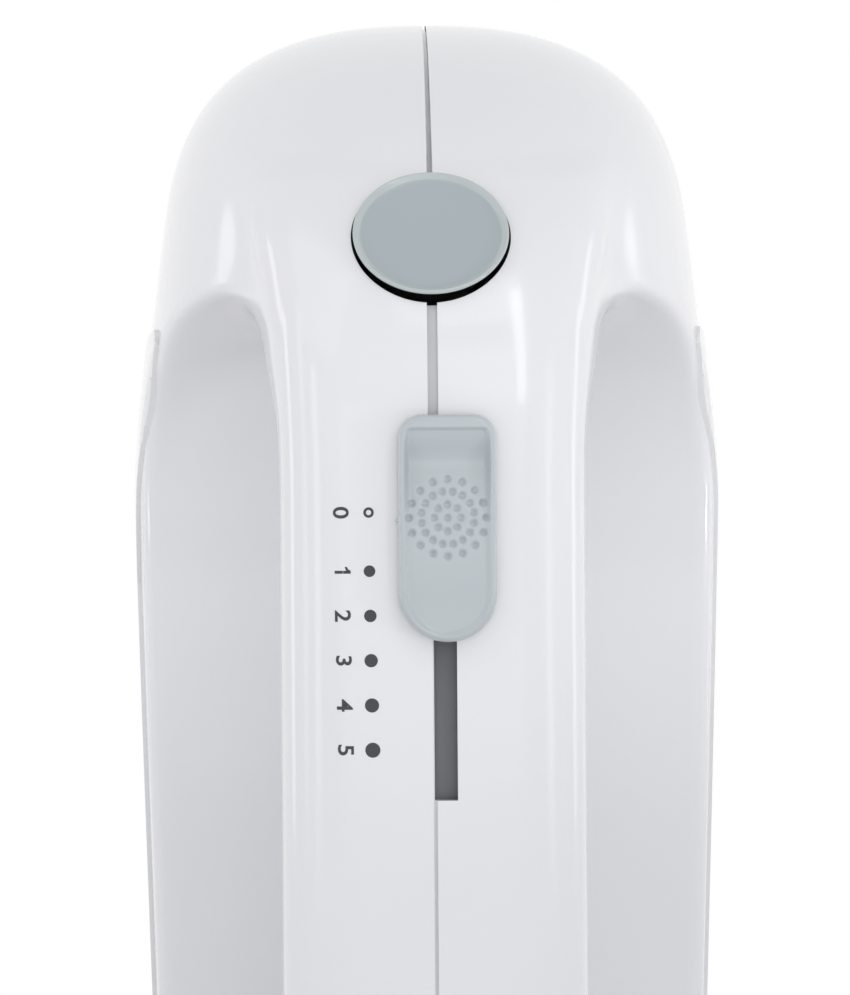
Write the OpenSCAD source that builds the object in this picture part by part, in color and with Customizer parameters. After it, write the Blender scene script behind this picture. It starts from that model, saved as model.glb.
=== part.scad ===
// Hand mixer standing on its heel: nose up (+Z), handle towards -Y, beaters towards +Y.
// The origin is the centre of the flat heel that it stands on.

/* [Housing] */
// Length of the housing, from the heel to the tip of the nose
body_len = 193.5; // [190:0.5:199]
// Width of the housing at its widest
body_w = 86; // [84:1:89]
// Distance of the belly from the heel's centre
belly_y = 56; // [55:1:60]
// Distance of the crown of the handle from the heel's centre
crown_y = 66; // [65:1:70]
// Height of the deck under the finger opening above the heel's centre
deck_y = 8; // [6:1:10]
// Length over which the deck climbs to the nose's shoulders
climb_len = 53; // [48:1:58]
// How far those shoulders lie beyond the finger opening's front end
climb_past = 5; // [3:0.5:7]
// Length over which the deck climbs to the heel
tail_climb = 36; // [32:1:38]
// Drop of the widest line below the heel's centre
waist_y = 20; // [17:1:23]
// How far the handle's back stands over the nose's shoulders
spine = 9; // [7:0.5:10]
// Drop of the nose's tip below the heel's centre
tip_y = 10; // [6:1:14]
// Distance from the widest place to the tip
nose_len = 69.5; // [66:0.5:73]
// How much narrower the nose gets before it rounds over, as a share of the width
nose_taper = 0.086; // [0.07:0.002:0.1]
// Length over which the crown falls to the tip
crown_fall = 58.5; // [56:0.5:61]
// How much narrower each side is at the heel than at the widest place
tail_taper = 3.8; // [2:0.2:5]
// Radius of the edge round the heel
heel_edge = 6; // [4:1:8]
// Height of the corner between the handle and the heel
tail_round = 24; // [22:1:26]
// Thickness of the housing's wall
wall = 2.5; // [2:0.1:3]
// Width of the groove where the two halves meet
seam_w = 0.8; // [0.6:0.1:1]
// Depth of that groove
seam_depth = 0.9; // [0.6:0.1:1.2]
// How far the lower side band stands proud
band_rise = 0.6; // [0.4:0.1:0.8]
// Drop of the band's upper edge below the heel's centre
band_y = 2; // [0:1:6]
// How far that edge climbs towards the nose
band_climb = 20; // [17:1:23]
// Number of vent slots in the belly of each half
vents = 8; // [8:1:10]
// Width of a vent slot
vent_w = 2.4; // [2:0.2:3]

/* [Handle] */
// Width of the handle
handle_w = 40.5; // [38:0.5:42]
// Thickness of the handle
handle_thick = 27; // [26:0.5:28]
// How much the handle widens towards the nose on each side
handle_flare = 2.2; // [1:0.2:3]
// how far the handle's root spreads over the deck
root_flare = 8; // [6:0.5:9]
// Height of the finger opening's rear end above the heel
grip_rear = 34; // [32:1:38]
// Distance of the finger opening's front end from the tip
grip_front = 45.5; // [44.5:0.5:47.5]
// Length of the rounded corners of the finger opening
arch_len = 14; // [10:1:16]
// Height of those rounded corners
arch_rise = 22; // [16:1:24]

/* [Eject button] */
// Diameter of the button
button_d = 21; // [20:0.1:22]
// Lean of the button towards the nose
button_lean = 36; // [33:1:38]
// Distance of the button from the tip of the nose
button_from_tip = 34.9; // [33.5:0.1:36.5]
// How far the button stands proud of the nose
button_rise = 1.3; // [1:0.1:2]
// Thickness of the button's cap
button_thick = 5; // [4.6:0.1:5.4]
// How far the button is pushed in
button_travel = 6; // [5:0.5:6]
// Gap round the button
button_gap = 0.3; // [0.3:0.1:0.6]

/* [Speed slider] */
// Width of the slider's cap
slider_w = 12.6; // [12:0.1:13.5]
// Length of the slider's cap
slider_len = 29.4; // [28:0.1:31]
// Offset of the slider and its slot from the middle, towards the right
slider_x = 1.4; // [0:0.1:1.6]
// Height of the slider's cap over the handle
slider_rise = 3.2; // [2.8:0.1:3.8]
// Distance of the off mark from the tip of the nose
off_from_tip = 71.8; // [70.5:0.1:73.5]
// Distance from the off mark to the first speed
first_step = 7.4; // [7:0.1:8]
// Distance from each speed to the next
speed_step = 5.8; // [5.5:0.1:6]
// Number of speeds
speeds = 5; // [4:1:5]
// Width of the slot that the slider runs in
slot_w = 3; // [2.6:0.1:3.4]

/* [Motor] */
// Distance of the motor's axis from the heel's centre
motor_y = 24; // [23:0.5:25]
// Width of the stator's iron
stator_w = 60; // [58:1:62]
// Height of the stator's iron
stator_h = 46; // [45:1:48]
// Length of the stator's iron
stator_len = 28; // [26:1:29]
// Distance from the stator's front end to the beaters' axes
motor_from_drive = 50; // [49:1:51]
// Diameter of the armature's iron
rotor_d = 29; // [27:0.5:30]
// Gap between the armature and the stator
air_gap = 0.5; // [0.4:0.1:0.8]
// Diameter of the motor's shaft
shaft_d = 5; // [4.6:0.1:5.2]
// Diameter of the commutator
commutator_d = 18; // [16:0.5:19]
// Diameter of the cooling fan
fan_d = 42; // [38:1:43]
// Number of the fan's blades
fan_blades = 9; // [7:1:11]

/* [Gear drive] */
// Distance from the gears' teeth to the line of the housing's side
gear_room = 7.4; // [7:0.1:7.8]
// Starts of the worm's thread
worm_starts = 2; // [2:1:2]
// Pitch diameter of the worm
worm_d = 8; // [7.8:0.1:8.4]
// Length of the worm
worm_len = 16; // [15:1:17]
// Teeth on each worm gear
gear_teeth = 30; // [28:2:30]
// Width of the gears' teeth
gear_face = 8; // [7:0.5:8.5]
// Backlash of the teeth
backlash = 0.3; // [0.25:0.05:0.4]
// Distance of the beaters' axes from the tip of the nose
drive_from_tip = 43.5; // [43.5:0.5:44.5]
// Radial clearance of a turning shaft in its bush
run_fit = 0.05; // [0.02:0.01:0.08]
// Outside diameter of a spindle
spindle_d = 11; // [10.5:0.1:11.6]

/* [Beaters] */
// Diameter of a beater's stem
stem_d = 6.4; // [6:0.1:6.8]
// Diameter of the rod inside a beater's cage
rod_d = 4; // [3.6:0.2:4.6]
// Diameter of a beater's cage of blades
beater_d = 50; // [44:1:52]
// Length of a beater's cage
beater_len = 132; // [120:1:145]
// Width of a blade
blade_w = 4.4; // [3.6:0.2:5]
// Thickness of a blade
blade_thick = 1.1; // [1:0.1:1.4]

/* [Fasteners] */
// Diameter of the housing screws' thread
screw_d = 3; // [2.6:0.1:3.2]
// Diameter of their heads
screw_head_d = 5.4; // [5:0.1:5.8]
// Diameter of the motor's long screws
bolt_d = 3; // [2.6:0.1:3.2]
// Diameter of the cord's hole in its gland
cord_hole_d = 7.2; // [6.6:0.1:7.6]
// Outside diameter of the gland
gland_d = 12.4; // [12:0.1:13]

/* [Hidden] */
$fn = 64;

white = [0.90, 0.90, 0.91];
grey = [0.66, 0.70, 0.71];
iron = [0.45, 0.45, 0.47];
steel = [0.72, 0.73, 0.75];
copper = [0.72, 0.42, 0.25];
brass = [0.80, 0.68, 0.38];
black = [0.13, 0.13, 0.14];

// ---- shape of the housing ----
// The parts of both lofts follow from these curves along the mixer's length.
heel_half = belly_y - heel_edge;
side_w = body_w / 2 - band_rise;
wide_z = body_len - nose_len;
bend_z = body_len - crown_fall;
belly_end = body_len - 28;
grip_y = crown_y - handle_thick;
front_z = body_len - grip_front;
deep_y = deck_y + 10;
skin_limit = 24;
handle_ends = [9, body_len - 15];
shoulder_z = front_z + climb_past;
sink_z = body_len - 27.5;
tail_top_z = handle_ends[0] + 3;

function within(t) = min(1, max(0, t));
function ease(a, b, z) = let (t = within((z - a) / (b - a))) t * t * (3 - 2 * t);
function fall(t, p, q) = pow(max(0, 1 - pow(within(t), p)), 1 / q);
function spow(v, p) = sign(v) * pow(abs(v), p);
function edge_arc(z, r) = r - sqrt(max(0, r * r - pow(max(0, r - z), 2)));

// half the width at a height, seen from the front
function side(z) = z > wide_z
    ? let (t = (z - wide_z) / nose_len) side_w * (1 - nose_taper * ease(0, 0.6, t)) * fall(t, 5.2, 2.4)
    : side_w - tail_taper * pow((wide_z - z) / wide_z, 1.1) - edge_arc(z, heel_edge);
// the top line over the handle and nose, and the belly's line
function crown(z) = z > bend_z
    ? tip_y - (crown_y + tip_y) * fall((z - bend_z) / crown_fall, 1.9, 1.65)
    : -heel_half - (crown_y - heel_half) * fall((tail_round - z) / tail_round, 2, 2);
function belly(z) = z > belly_end
    ? tip_y + (belly_y - tip_y) * fall((z - belly_end) / (body_len - belly_end), 2.2, 2.2)
    : belly_y - edge_arc(z, heel_edge);
// the body's own top line stays under the handle's until they meet in the nose, and its
// widest line drops from the nose to the waist
function ridge(z) = crown(z)
    + spine * (ease(heel_edge, tail_top_z + 2, z) - ease(front_z + 2, sink_z + 4, z));
function waist(z) = let (t = ease(front_z - 20, body_len - 8, z))
    waist_y * (1 - t) + (belly(z) + crown(z)) / 2 * t;
// the handle's half width and underside, with the finger opening's arched ends
function handle_side(z) = handle_w / 2
    + handle_flare * pow(within((z - wide_z) / (body_len - button_from_tip - wide_z)), 2);
function arch(t, d) = -grip_y + arch_rise - (arch_rise + d) * sqrt(max(0, 1 - t * t));
function under(z, d) = let (
    f = (z - front_z + arch_len) / (arch_len + d),
    r = (grip_rear + arch_len - z) / (arch_len + d))
    max(f, r) >= 1 ? deep_y : arch(max(f, r, 0), d);

// one section as a rounded ring of points, and a solid skinned over a list of them
function ring(a, y0, y1, h, z, power, count) = [for (i = [0:count - 1])
    let (t = 360 * (i + 0.5) / count)
    [a * spow(cos(t), 2 / power), (sin(t) > 0 ? y1 - h : y0 + h) + h * spow(sin(t), 2 / power), z]];
module skin(rings) {
    n = len(rings[0]);
    last = len(rings) - 1;
    polyhedron(
        points = [for (r = rings) each r],
        faces = concat(
            [[for (i = [0:n - 1]) i]],
            [for (k = [0:last - 1], i = [0:n - 1])
                each [[k * n + i, (k + 1) * n + i, k * n + (i + 1) % n],
                    [k * n + (i + 1) % n, (k + 1) * n + i, (k + 1) * n + (i + 1) % n]]],
            [[for (i = [n - 1:-1:0]) last * n + i]]));
}

function body_ring(z, d, count) = let (a = side(z) * (1 - d / max(side(z), skin_limit)))
    [for (i = [0:count - 1]) let (
        t = 360 * (i + 0.5) / count,
        half = sin(t) > 0 ? belly(z) - waist(z) : waist(z) - ridge(z),
        p = sin(t) > 0 ? 0.7 : 0.8)
        [a * spow(cos(t), p), waist(z) + half * (1 - d / max(half, skin_limit)) * spow(sin(t), p),
            d + z * (body_len - 2 * d) / body_len]];
body_heights = concat(
    [for (t = [0:30:60]) heel_edge * (1 - cos(t))],
    [for (s = [0:0.25:1]) heel_edge + (tail_round - heel_edge) * s],
    [for (s = [0.4, 0.75, 1]) tail_round + (shoulder_z - climb_len - tail_round) * s],
    [for (s = [0.2, 0.4, 0.55, 0.7, 0.85, 1]) shoulder_z - climb_len * (1 - s)],
    [for (t = [15:15:75]) shoulder_z + (body_len - shoulder_z) * sin(t)],
    [body_len - 1.2, body_len - 0.15]);
module body_loft(d, count) skin([for (z = body_heights) body_ring(z, d, count)]);
// the room over the deck, which climbs in an arc at each end, as a side view across the body
function climb(z0, len, d, t) = let (p = len > 0 ? 0.57 : 0.89)
    [-crown_y + (crown_y - deck_y + d) * pow(cos(t), p),
    z0 + sign(len) * (abs(len) + d) * pow(sin(t), p)];
module across(w) rotate([90, 0, 90]) linear_extrude(w, center = true) children();
module deck_room(d) across(2 * body_w) polygon(concat(
    [for (t = [0:9:90]) climb(shoulder_z - climb_len, climb_len, d, t)],
    [[-2 * crown_y, shoulder_z + d], [-2 * crown_y, tail_top_z - d]],
    [for (t = [90:-10:0]) climb(tail_top_z + tail_climb, -tail_climb, d, t)]));
module body_form(d, count) difference() {
    body_loft(d, count);
    deck_room(d);
}

function root(z, y) = root_flare * ease(front_z - arch_len - 4, front_z - 4, z)
    * within((y + crown_y - 8) / (crown_y + deep_y - handle_thick / 2 - 8));
function handle_ring(z, d, count) = let (a = handle_side(z) - d, sink = 11 * ease(sink_z, handle_ends[1], z))
    [for (p = ring(a, crown(z) + d + sink, under(z, d), handle_thick / 2 - d, z, 3, count))
        [p[0] * (1 + root(z, p[1]) / a), p[1], z]];
function handle_heights(d) = let (f = front_z + d, r = grip_rear - d, arc = arch_len + d)
    concat([handle_ends[0] + d, (handle_ends[0] + r) / 2, r - 0.01],
    [for (t = [90:-22.5:0]) grip_rear + arch_len - arc * sin(t)],
    [(grip_rear + front_z) / 2, bend_z - 2 * arch_len],
    [for (t = [0:22.5:90]) front_z - arch_len + arc * sin(t) - (t == 90 ? 0.02 : 0)],
    [f + 0.01],
    [for (s = [0.2:0.2:1]) f + (handle_ends[1] - d - f) * s]);
module handle_form(d, count) skin([for (z = handle_heights(d)) handle_ring(z, d, count)]);

module form(d = 0, count = 32) {
    body_form(d, count);
    handle_form(d, count > 20 ? 22 : 14);
}

// ---- places that several pieces share ----
button_z = body_len - button_from_tip;
button_y = crown(button_z);
button_stem_d = 8;
button_stem_len = button_rise + 4.7;
drive_z = body_len - drive_from_tip;
gear_module = (side_w - worm_d / 2 - gear_room) / (gear_teeth + 1);
pitch_r = gear_module * gear_teeth / 2;
drive_x = worm_d / 2 + pitch_r;
gear_y = motor_y - gear_face / 2;
bush_d = spindle_d + 4;
flange = 1;
cover_y = [gear_y - 6, gear_y - 3];
frame_y = [gear_y + gear_face + 5, gear_y + gear_face + 8.5];
spindle_y = [cover_y[0] - 1, belly_y + 2.5];
stem_top = spindle_y[0] - 5.7;
press_gap = 0.3;
yoke_bar = [stem_top - press_gap - 4, stem_top - press_gap];
head_y = button_y + (button_stem_len - button_rise) * cos(button_lean) + button_stem_d / 2 + press_gap;
travel = first_step + (speeds - 1) * speed_step;
off_z = body_len - off_from_tip;
neck_len = 6;
neck_z = off_z - 3;
motor_front = drive_z - motor_from_drive;
stator_z = motor_front - stator_len;
leg_x = stator_w / 2 - 4;
leg_y = stator_h / 2 - 5;
leg_d = bolt_d + 3;
plate_w = 2 * leg_x + 8;
plate_h = 2 * leg_y + 8;
plate_thick = 3;
front_plate_z = motor_front + 18;
rear_plate_z = stator_z - 31;
bearing_d = shaft_d + 5;
bearing_len = 6;
shaft_z = [rear_plate_z - 3, drive_z + 19];
commutator_z = rear_plate_z + 9;
coil_x = [rotor_d / 2 + 2, rotor_d / 2 + 8];
coil_out = 7;
frame_bar_z = drive_z - 22;
gear_screw_d = 2.5;
gear_screw_head = 2.2;
frame_half = drive_x + 15;
end_wall_z = drive_z + 13;
seat_gap = 0.1;
// the screws that draw the halves together, as [y, z]
screw_spots = [[-crown_y + 12, 24], [belly_y - 11, 14], [belly_y - 9.5, frame_bar_z],
    [belly_y - 16, body_len - 17]];
boss_d = screw_head_d + 3;
screw_seat = 12;
screw_len = 22;
gland_tilt = 34;
gland_at = [0, -heel_half - (crown_y - heel_half) * cos(45), tail_round * (1 - sin(45))];

module along_y(y) translate([0, y, 0]) rotate([-90, 0, 0]) children();
module along_x(x) translate([x, 0, 0]) rotate([0, 90, 0]) children();
module tube(h, outer, inner) difference() {
    cylinder(h = h, d = outer);
    translate([0, 0, -1]) cylinder(h = h + 2, d = inner);
}
module at_motor(z) translate([0, motor_y, z]) children();
module at_spindle(s, y) translate([s * drive_x, 0, drive_z]) along_y(y) children();
module at_button() translate([0, button_y, button_z]) rotate([90 - button_lean, 0, 0]) children();
module at_gland() translate(gland_at) rotate([90 + gland_tilt, 0, 0]) children();
module rounded_rect(w, h, r) {
    square([w - 2 * r, h], center = true);
    square([w, h - 2 * r], center = true);
    for (x = [-1, 1], y = [-1, 1]) translate([x * (w / 2 - r), y * (h / 2 - r)]) circle(r);
}
module at_legs() for (x = [-1, 1], y = [-1, 1]) translate([x * leg_x, y * leg_y]) children();

// ---- housing ----
module half_space(s) translate([s > 0 ? 0 : -300, -300, -300]) cube([300, 600, 900]);
module seam_cut() difference() {
    translate([-seam_w / 2, -crown_y - 5, 1.5]) cube([seam_w, crown_y + belly_y + 10, body_len]);
    form(seam_depth);
}
// the lower side band, which stands proud of the upper side
module side_band() intersection() {
    body_loft(-band_rise, 32);
    across(2 * body_w) polygon([[band_y, heel_edge], [band_y, wide_z - 12],
        [band_y - band_climb, front_z - 2.5], [band_y - band_climb + 0.4, front_z - 1],
        [band_y - band_climb + 2, front_z], [belly_y - 7, front_z - 6], [belly_y - 7, heel_edge]]);
}
// a rib across the inside, open in the middle for the piece that it holds
module rib(z, thick, half, y0, y1) difference() {
    intersection() {
        form(wall / 2, 18);
        translate([-body_w, y0 - 8, z]) cube([2 * body_w, body_w, thick]);
    }
    translate([-half - seat_gap, y0 - seat_gap, z - 1])
        cube([2 * (half + seat_gap), y1 - y0 + 2 * seat_gap, thick + 2]);
}
module ribs() {
    for (z = [front_plate_z, rear_plate_z])
        rib(z, plate_thick, plate_w / 2, motor_y - plate_h / 2, motor_y + plate_h / 2);
    rib(frame_bar_z - 2, 4, frame_half, cover_y[0] - gear_screw_head, frame_y[1]);
}
module ledges() intersection() {
    form(wall / 2, 18);
    for (x = [-1, 1]) translate([x * (handle_w / 2 - wall) - 3, base_y[1] + seat_gap, base_z[0]])
        cube([6, 1.6, base_z[1] - base_z[0]]);
}
module screw_boss(p) translate([0, p[0], p[1]]) along_x(-body_w / 2)
    cylinder(h = body_w, d = boss_d, $fn = 20);
module screw_way(s, p) translate([0, p[0], p[1]]) if (s > 0) {
    along_x(-1) cylinder(h = 50, d = screw_d + 0.4, $fn = 16);
    along_x(screw_seat) cylinder(h = body_w, d = screw_head_d + 0.6, $fn = 20);
} else along_x(screw_seat - screw_len - 0.5) cylinder(h = 50, d = screw_d + 0.3, $fn = 16);
module button_guide() intersection() {
    form(0.8);
    at_button() translate([0, 0, -10]) cylinder(h = 20, d = button_d + 2 * button_gap + 3, $fn = 40);
}
module button_hole() at_button() translate([0, 0, -11])
    cylinder(h = 30, d = button_d + 2 * button_gap, $fn = 40);
module collar(s) at_spindle(s, belly_y - 1) cylinder(h = 2.2, d = spindle_d + 8, $fn = 40);
module spindle_hole(s) at_spindle(s, belly_y - 12) cylinder(h = 30, d = spindle_d + 1.6, $fn = 32);
module slider_slot() translate([slider_x - slot_w / 2, -crown_y - 2, neck_z - travel - neck_len / 2 - 0.4])
    cube([slot_w, wall + 4, travel + neck_len + 0.8]);
module gland_hole() at_gland() {
    cylinder(h = 30, d = gland_d + 2 * seat_gap, center = true, $fn = 32);
    translate([0, 0, -7.4 - seat_gap])
        cylinder(h = 2.4 + 2 * seat_gap, d = gland_d + 3 + 2 * seat_gap, $fn = 32);
}
// room for a worm gear in the wall beside it
module gear_relief(s) at_spindle(s, gear_y - 0.6)
    cylinder(h = gear_face + 1.2, r = pitch_r + gear_module + 0.6, $fn = 40);
module vent(k) hull() for (x = [9, side_w - 14]) translate([x, belly_y - 8, 34 + k * 2 * vent_w])
    rotate([-90, 0, 0]) cylinder(h = 16, d = vent_w, $fn = 10);
module housing_half(s) difference() {
    intersection() {
        half_space(s);
        union() {
            difference() {
                union() {
                    form();
                    side_band();
                }
                form(wall, 18);
            }
            intersection() {
                form(wall / 2, 18);
                for (p = screw_spots) screw_boss(p);
            }
            ribs();
            ledges();
            button_guide();
            collar(s);
        }
    }
    seam_cut();
    for (k = [0:vents - 1]) scale([s, 1, 1]) vent(k);
    for (p = screw_spots) screw_way(s, p);
    button_hole();
    slider_slot();
    spindle_hole(s);
    gear_relief(s);
    gland_hole();
}
module left_housing() color(white) housing_half(-1);
module right_housing() color(white) housing_half(1);
module screw(len, d, head) {
    cylinder(h = len, d = d);
    translate([0, 0, len]) difference() {
        cylinder(h = head * 0.45, d = head);
        for (a = [0, 90]) rotate(a) translate([0, 0, head * 0.45])
            cube([head * 0.6, 0.8, 1.6], center = true);
    }
}
module housing_screws() color(steel) for (p = screw_spots)
    translate([0, p[0], p[1]]) along_x(screw_seat - screw_len) screw(screw_len, screw_d, screw_head_d);
module cord_gland() color(grey) at_gland() difference() {
    union() {
        translate([0, 0, -7]) cylinder(h = 7.6, d = gland_d);
        translate([0, 0, -7 - 0.4]) cylinder(h = 2.4, d = gland_d + 3);
    }
    translate([0, 0, -10]) cylinder(h = 20, d = cord_hole_d);
}

// ---- eject button and yoke ----
module eject_button() color(grey) at_button() difference() {
    union() {
        translate([0, 0, button_rise - button_thick]) cylinder(h = button_thick - 1.2, d = button_d);
        translate([0, 0, button_rise - 1.2]) cylinder(h = 1.2, d1 = button_d, d2 = button_d - 2);
        translate([0, 0, button_rise - button_stem_len]) cylinder(h = button_stem_len - 1, d = button_stem_d);
        translate([0, 0, button_rise - button_stem_len]) sphere(d = button_stem_d);
    }
    translate([0, 0, button_rise + 59.6]) sphere(r = 60);
}
module ejector_yoke() color(black) difference() {
    union() {
        translate([-drive_x, yoke_bar[0], drive_z - 4.5]) cube([2 * drive_x, yoke_bar[1] - yoke_bar[0], 9]);
        for (s = [-1, 1]) at_spindle(s, yoke_bar[0]) cylinder(h = yoke_bar[1] - yoke_bar[0], d = 9);
        translate([-4, head_y + 2, front_z + wall + 0.8]) cube([8, yoke_bar[1] - head_y - 2, 5.2]);
        translate([-5, head_y, front_z + 1]) cube([10, 3.5, 9]);
    }
    translate([0, 0, drive_z]) along_y(yoke_bar[0] + 1.5) cylinder(h = 5, d = 8.4);
}
spring_r = 3;
wire_d = 0.8;
spring_turns = 3.5;
spring_y = [yoke_bar[0] + 1.5, cover_y[0]];
function coil_point(t, r, y) = [r * cos(t), y, r * sin(t)];
module ejector_spring() color(steel) translate([0, 0, drive_z]) {
    y0 = spring_y[0] + wire_d / 2;
    y1 = spring_y[1] - wire_d / 2;
    skin([for (t = [0:30:360 * spring_turns]) let (y = y0 + (y1 - y0) * t / (360 * spring_turns))
        [for (a = [0:60:300]) coil_point(t, spring_r + wire_d / 2 * cos(a), y - wire_d / 2 * sin(a))]]);
}

// ---- speed slider and switch ----
slider_front = off_z + 13;
slider_rear = slider_front - slider_len;
lift_gap = 0.3;
carriage_y = -crown_y + wall + 0.8;
base_y = [-crown_y + 9.5, -crown_y + 11.5];
base_z = [off_z - travel - 12, off_z + 8];
pad_thick = 0.6;
wiper_y = base_y[0] - pad_thick - 0.1;
module slider_outline(grow) {
    r = slider_w / 2;
    translate([0, slider_rear + r]) circle(r + grow);
    translate([-r - grow, slider_rear + r]) square([slider_w + 2 * grow, slider_len - r - 2.2]);
    translate([0, slider_front - 2.2]) rounded_rect(slider_w + 2 * grow, 4.4, 2.19);
}
// stands an outline drawn in X and Z on the handle, from one Y to another
module upright(y0, y1) translate([0, y1, 0]) rotate([90, 0, 0]) linear_extrude(y1 - y0) children();
module speed_slider() color(grey) translate([slider_x, 0, 0]) {
    difference() {
        upright(-crown_y - slider_rise, -crown_y - lift_gap) slider_outline(0);
        translate([0, -crown_y - slider_rise - 29, slider_rear + slider_len * 0.46]) along_x(-slider_w)
            cylinder(h = 2 * slider_w, r = 30);
    }
    translate([-slot_w / 2 + 0.25, -crown_y - 1, neck_z - neck_len / 2])
        cube([slot_w - 0.5, carriage_y + crown_y + 1, neck_len]);
}
// the carriage also shuts the slot from inside
module slider_carriage() color(grey) translate([slider_x - 5, carriage_y, neck_z - travel - 7])
    cube([10, 1.5, travel + 17]);
module contact_wiper() color(brass) translate([slider_x - 2.5, 0, 0]) rotate([90, 0, 90]) linear_extrude(5)
    polygon([[carriage_y + 1.5, neck_z + 7], [carriage_y + 1.9, neck_z + 7], [carriage_y + 1.9, neck_z - 1],
        [wiper_y, neck_z - 6], [wiper_y, neck_z - 7.5], [wiper_y - 0.4, neck_z - 7.5],
        [wiper_y - 0.4, neck_z - 6.2], [carriage_y + 1.5, neck_z - 1.2]]);
module switch_base() color([0.55, 0.38, 0.2]) difference() {
    translate([-handle_w / 2 + wall + 1, base_y[0], base_z[0]])
        cube([handle_w - 2 * wall - 2, base_y[1] - base_y[0], base_z[1] - base_z[0]]);
    for (z = [base_z[0] + 4, base_z[1] - 4]) translate([0, 0, z]) along_y(base_y[0] - 1)
        cylinder(h = 5, d = 3);
}
module switch_contacts() color(copper) for (k = [0:speeds])
    translate([slider_x - 4, base_y[0] - pad_thick,
        neck_z - 8.75 - (k == 0 ? 0 : first_step + (k - 1) * speed_step)])
        cube([8, pad_thick, 4]);

// ---- motor ----
module stator_core() color(iron) at_motor(stator_z) linear_extrude(stator_len) difference() {
    rounded_rect(stator_w, stator_h, 4);
    circle(r = rotor_d / 2 + air_gap);
    for (x = [-1, 1], y = [-1, 1]) translate([x * (coil_x[0] + coil_x[1]) / 2, y * (coil_half() - 3)])
        square([coil_x[1] - coil_x[0] + 0.6, 6.6], center = true);
    at_legs() circle(d = bolt_d + 2 * seat_gap);
}
function coil_half() = stator_h / 2 - 6;
module field_coil(s) color(copper) at_motor(stator_z + stator_len / 2)
    along_x(s > 0 ? coil_x[0] : -coil_x[1]) linear_extrude(coil_x[1] - coil_x[0]) difference() {
        rounded_rect(stator_len + 2 * coil_out, 2 * coil_half(), 5);
        rounded_rect(stator_len + 0.6, 2 * coil_half() - 12, 0.5);
    }
module left_field_coil() field_coil(-1);
module right_field_coil() field_coil(1);
module bracket(z, leg_from, leg_len, hub_from) at_motor(0) difference() {
    union() {
        translate([0, 0, z]) linear_extrude(plate_thick) difference() {
            rounded_rect(plate_w, plate_h, 4);
            difference() {
                circle(r = min(plate_h / 2 - 3, plate_w / 2 - 3));
                circle(d = bearing_d + 6);
                for (a = [0, 90]) rotate(a) square([plate_w, 8], center = true);
            }
        }
        translate([0, 0, hub_from]) cylinder(h = bearing_len, d = bearing_d + 6);
        translate([0, 0, leg_from]) at_legs() cylinder(h = leg_len, d = leg_d);
    }
    translate([0, 0, hub_from - 1]) cylinder(h = bearing_len + 2, d = bearing_d);
    translate([0, 0, z - 50]) at_legs() cylinder(h = 100, d = bolt_d + 2 * seat_gap);
}
module front_bracket() color(iron)
    bracket(front_plate_z, motor_front, front_plate_z - motor_front, front_plate_z);
module rear_bracket() color(iron)
    bracket(rear_plate_z, rear_plate_z + 1, stator_z - rear_plate_z - 1, rear_plate_z - 2);
module bracket_screws() color(steel) at_motor(0) at_legs() {
    translate([0, 0, rear_plate_z]) cylinder(h = front_plate_z + plate_thick - rear_plate_z, d = bolt_d);
    translate([0, 0, rear_plate_z - 2]) cylinder(h = 2, d = bolt_d + 2.4);
}
module bearing(z, len) color(brass) at_motor(z) tube(len, bearing_d, shaft_d + 2 * run_fit);
module front_bearing() bearing(front_plate_z, bearing_len);
module rear_bearing() bearing(rear_plate_z - 2, bearing_len);
module nose_bearing() bearing(end_wall_z, 4);
module motor_shaft() color(steel) at_motor(shaft_z[0]) cylinder(h = shaft_z[1] - shaft_z[0], d = shaft_d);
module armature_core() color(iron) at_motor(stator_z) linear_extrude(stator_len) difference() {
    circle(d = rotor_d);
    circle(d = shaft_d);
    for (a = [0:30:330]) rotate(a) {
        translate([rotor_d / 2 - 3.4, 0]) circle(d = 3, $fn = 24);
        translate([rotor_d / 2, 0]) square([4, 1], center = true);
    }
}
module armature_winding() color(copper) for (z = [stator_z - 5, motor_front]) at_motor(z)
    rotate_extrude() polygon([[shaft_d / 2 + 2, 0], [rotor_d / 2 - 3, 0], [rotor_d / 2 - 1.6, 1.6],
        [rotor_d / 2 - 1.6, 3.4], [rotor_d / 2 - 3, 5], [shaft_d / 2 + 2, 5]]);
module commutator() color(copper) at_motor(commutator_z) difference() {
    cylinder(h = 14, d = commutator_d);
    translate([0, 0, -1]) cylinder(h = 16, d = shaft_d);
    for (a = [0:30:330]) rotate(a) translate([commutator_d / 2, 0, 6]) cube([1.6, 0.6, 14], center = true);
}
brush_z = commutator_z + 6;
brush_w = 6;
brush_from = commutator_d / 2 + 0.1;
module brush(s) color(black)
    translate([s > 0 ? brush_from : -brush_from - 10, motor_y - brush_w / 2, brush_z - 2.5])
    cube([10, brush_w, 5]);
module left_brush() brush(-1);
module right_brush() brush(1);
module brush_holders() color(brass) for (s = [-1, 1]) scale([s, 1, 1]) difference() {
    union() {
        translate([brush_from + 2, motor_y - brush_w / 2 - 1, brush_z - 3.5]) cube([12, brush_w + 2, 7]);
        translate([brush_from + 5, motor_y - 3, rear_plate_z + plate_thick])
            cube([4, 6, brush_z - rear_plate_z - plate_thick - 3]);
    }
    translate([brush_from - 1, motor_y - brush_w / 2 - 0.05, brush_z - 2.55])
        cube([12.5, brush_w + 0.1, 5.1]);
}
fan_z = motor_front + coil_out + 1.2;
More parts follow.
